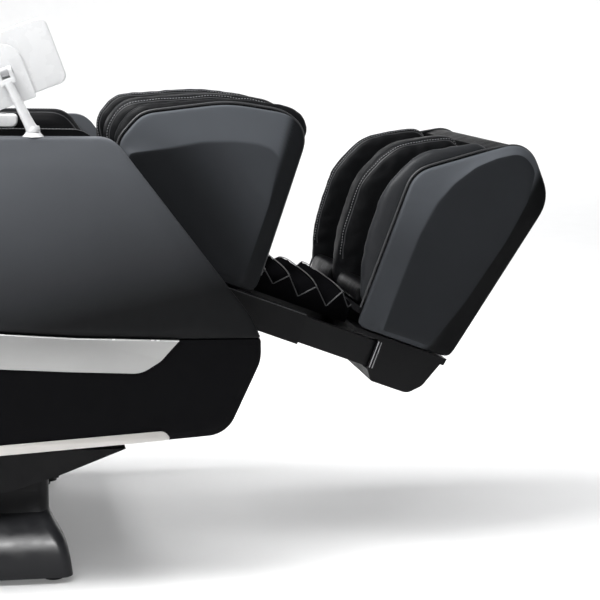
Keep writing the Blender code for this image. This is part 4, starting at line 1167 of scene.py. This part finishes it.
for suffix, side in (("a", -1), ("b", 1)):
    lathe(f"knuckle_cap_{suffix}", [(0, 0), (0.006, 0), (0.006, 0.0008), (0.005, 0.0016),
                                    (0, 0.0018)],
          tuple(in_remote([(side * 0.0126, 0, 0)])[0]),
          tuple(side * v for v in TILT_AXIS), KNUCKLE, "remote_stalk", slot="white_plastic")

PLATE = [(-0.034, -0.053, 0.004), (0.034, -0.053, 0.004), (0.034, 0.044, 0.033),
         (-0.034, 0.044, 0.033)]
LIP = [(-0.0275, -0.052, 0.001), (0.0275, -0.052, 0.001), (0.0275, -0.039, 0.004),
       (-0.0275, -0.039, 0.004)]
plate = remote_slab("holder_plate", PLATE, 0.0095, 0.0135, "remote_holder", 0.0014)
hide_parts("remote_holder")
remote_slab("holder_ledge", box(-0.028, -0.0525, 0.028, -0.0476, 0.001), 0.011, 0.0272,
            "remote_holder", 0.0008)
remote_slab("holder_lip", LIP, 0.025, 0.0279, "remote_holder", 0.001)
remote_slab("holder_neck", box(-0.006, -0.0058, 0.006, 0.0058, 0.001), 0.001, 0.0105,
            "remote_holder", 0.0006, KNUCKLE)
tablet = remote_slab("tablet_case", box(-0.098, -0.047, 0.09, 0.061, 0.014), 0.0142, 0.0238,
                     "tablet", 0.003, count=5)
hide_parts("tablet")
remote_slab("tablet_screen", box(-0.092, -0.041, 0.084, 0.055, 0.009), 0.023, 0.0242,
            "tablet", 0.0004, SCREEN)

# --- Small details -----------------------------------------------------------------------------
for suffix, side in SIDES:
    for i, x in enumerate((0.4235, 0.4285)):
        line = [(x, side * 0.2403, 0.063 - 0.0485 * t) for t in np.linspace(0, 1, 14)]
        tube(f"heel_clip_{i}_{suffix}", line, 0.0009, BRIGHT if i else KNUCKLE, "footrest",
             in_leg, sides=6)
    line = [(x, side * 0.2334, 0.0642) for x in np.linspace(-0.03, 0.286, 24)]
    tube(f"rail_edge_{suffix}", line, 0.0009, PIPING, "legrest", in_leg, sides=6)
for i, s in enumerate(np.linspace(0.3, 0.6, 9)):
    slab(f"back_vent_{i}", [(s - 0.006, -0.0768, 0.0008), (s + 0.006, -0.0768, 0.0008),
                            (s + 0.006, -0.0745), (s - 0.006, -0.0745)],
         -0.14, 0.14, RUBBER, "backrest", in_back, rim=0.0004, slot="black_shell")
slab("back_frame_panel", [(0.18, -0.0762, 0.0006), (0.78, -0.0762, 0.0006), (0.78, -0.0746),
                          (0.18, -0.0746)],
     -0.2, 0.2, LOWER, "backrest", in_back, rim=0.0004, slot="black_shell")
slab("inlet_pins", [(-0.6125, 0.0585, 0.001), (-0.6125, 0.0715, 0.001), (-0.611, 0.0715),
                    (-0.611, 0.0585)],
     -0.038, -0.016, KNUCKLE, "base", rim=0.0003)

# --- Camera, stage and light -------------------------------------------------------------------
YAW, PITCH, ROLL = (math.radians(v) for v in (11.06, 9.32, 1.02))
ahead = Vector((math.sin(YAW) * math.cos(PITCH), math.cos(YAW) * math.cos(PITCH),
                -math.sin(PITCH)))
right = Vector((math.cos(YAW), -math.sin(YAW), 0))
up = right.cross(ahead)
rolled_right = math.cos(ROLL) * right + math.sin(ROLL) * up
rolled_up = -math.sin(ROLL) * right + math.cos(ROLL) * up
lens = bpy.data.cameras.new("camera")
FOCAL_PIXELS, PHOTO_PIXELS = 1647.55, 600
lens.sensor_width, lens.lens = 36, 36 * FOCAL_PIXELS / PHOTO_PIXELS
camera = bpy.data.objects.new("camera", lens)
view = Matrix((rolled_right, rolled_up, -ahead)).transposed().to_4x4()
view.translation = (0.0, -2.99, 0.92)
camera.matrix_world = view
scene.collection.objects.link(camera)
scene.camera = camera

bm = bmesh.new()
run = [(0.0, 0), (4.0, 0), (11.0, 0), (11.8, 0.1), (12.5, 0.45), (12.9, 1.0), (13.0, 1.8),
       (13.0, 7.0)]
turns = np.radians(np.arange(0, 360, 6))
hub = bm.verts.new((0, 0, 0))
rings = [[bm.verts.new((reach * math.cos(a), reach * math.sin(a), z)) for a in turns]
         for reach, z in run[1:]]
for k in range(len(turns)):
    bm.faces.new((hub, rings[0][k], rings[0][(k + 1) % len(turns)]))
for a, b in zip(rings, rings[1:]):
    for k in range(len(turns)):
        n = (k + 1) % len(turns)
        bm.faces.new((a[k], b[k], b[n], a[n]))
mesh = bpy.data.meshes.new("backdrop")
bm.to_mesh(mesh)
bm.free()
mesh.shade_smooth()
backdrop = bpy.data.objects.new("backdrop", mesh)
scene.collection.objects.link(backdrop)
mesh.materials.append(material("pale_floor", (0.86, 0.86, 0.86), 0.85, grain=0.0, spread=0.01,
                               specular=0.1))


def lit_only(name, thing):
    """A group for lights that reach only this thing."""
    group = bpy.data.collections.new(name)
    group.objects.link(thing)
    return group


washed = lit_only("washed", backdrop)
moulding = lit_only("moulding", cover)


def area(name, place, aim, size, power, only=None):
    """A soft box. The washed ones also take no shadow from the chair."""
    light = bpy.data.lights.new(name, "AREA")
    light.shape = "RECTANGLE"
    light.size, light.size_y = size
    light.energy = power
    thing = bpy.data.objects.new(name, light)
    thing.location = place
    thing.rotation_euler = (Vector(aim) - Vector(place)).to_track_quat("-Z", "Y").to_euler()
    scene.collection.objects.link(thing)
    if only:
        thing.light_linking.receiver_collection = only
    if only == washed:
        thing.light_linking.blocker_collection = only


area("overhead", (-0.7, -0.3, 2.4), (0.1, -0.1, 0.5), (2.0, 1.6), 120)
area("front", (-0.6, -2.7, 2.6), (0.1, -0.2, 0.3), (2.2, 0.9), 12)
area("rim", (3.0, 1.2, 2.0), (0.4, 0, 0.5), (1.6, 1.6), 10)
area("base_glow", (-0.2, -2.3, 2.0), (0, -0.3, 0.06), (2.6, 0.6), 400, only=moulding)
area("floor_wash", (0.3, -0.6, 3.2), (0.3, -0.2, 0), (4.0, 3.0), 80, only=washed)
area("back_wash", (0.6, 3.2, 3.6), (0.9, 4.0, 0), (6.0, 2.6), 85, only=washed)
area("wall_wash", (2.4, 9.0, 6.0), (2.4, 9.6, 0), (9.0, 4.5), 500, only=washed)
world = bpy.data.worlds.new("world")
scene.world = world
world.use_nodes = True
world.node_tree.nodes["Background"].inputs["Color"].default_value = (0.93, 0.95, 1.0, 1)
world.node_tree.nodes["Background"].inputs["Strength"].default_value = 0.15
scene.view_settings.view_transform = "Standard"
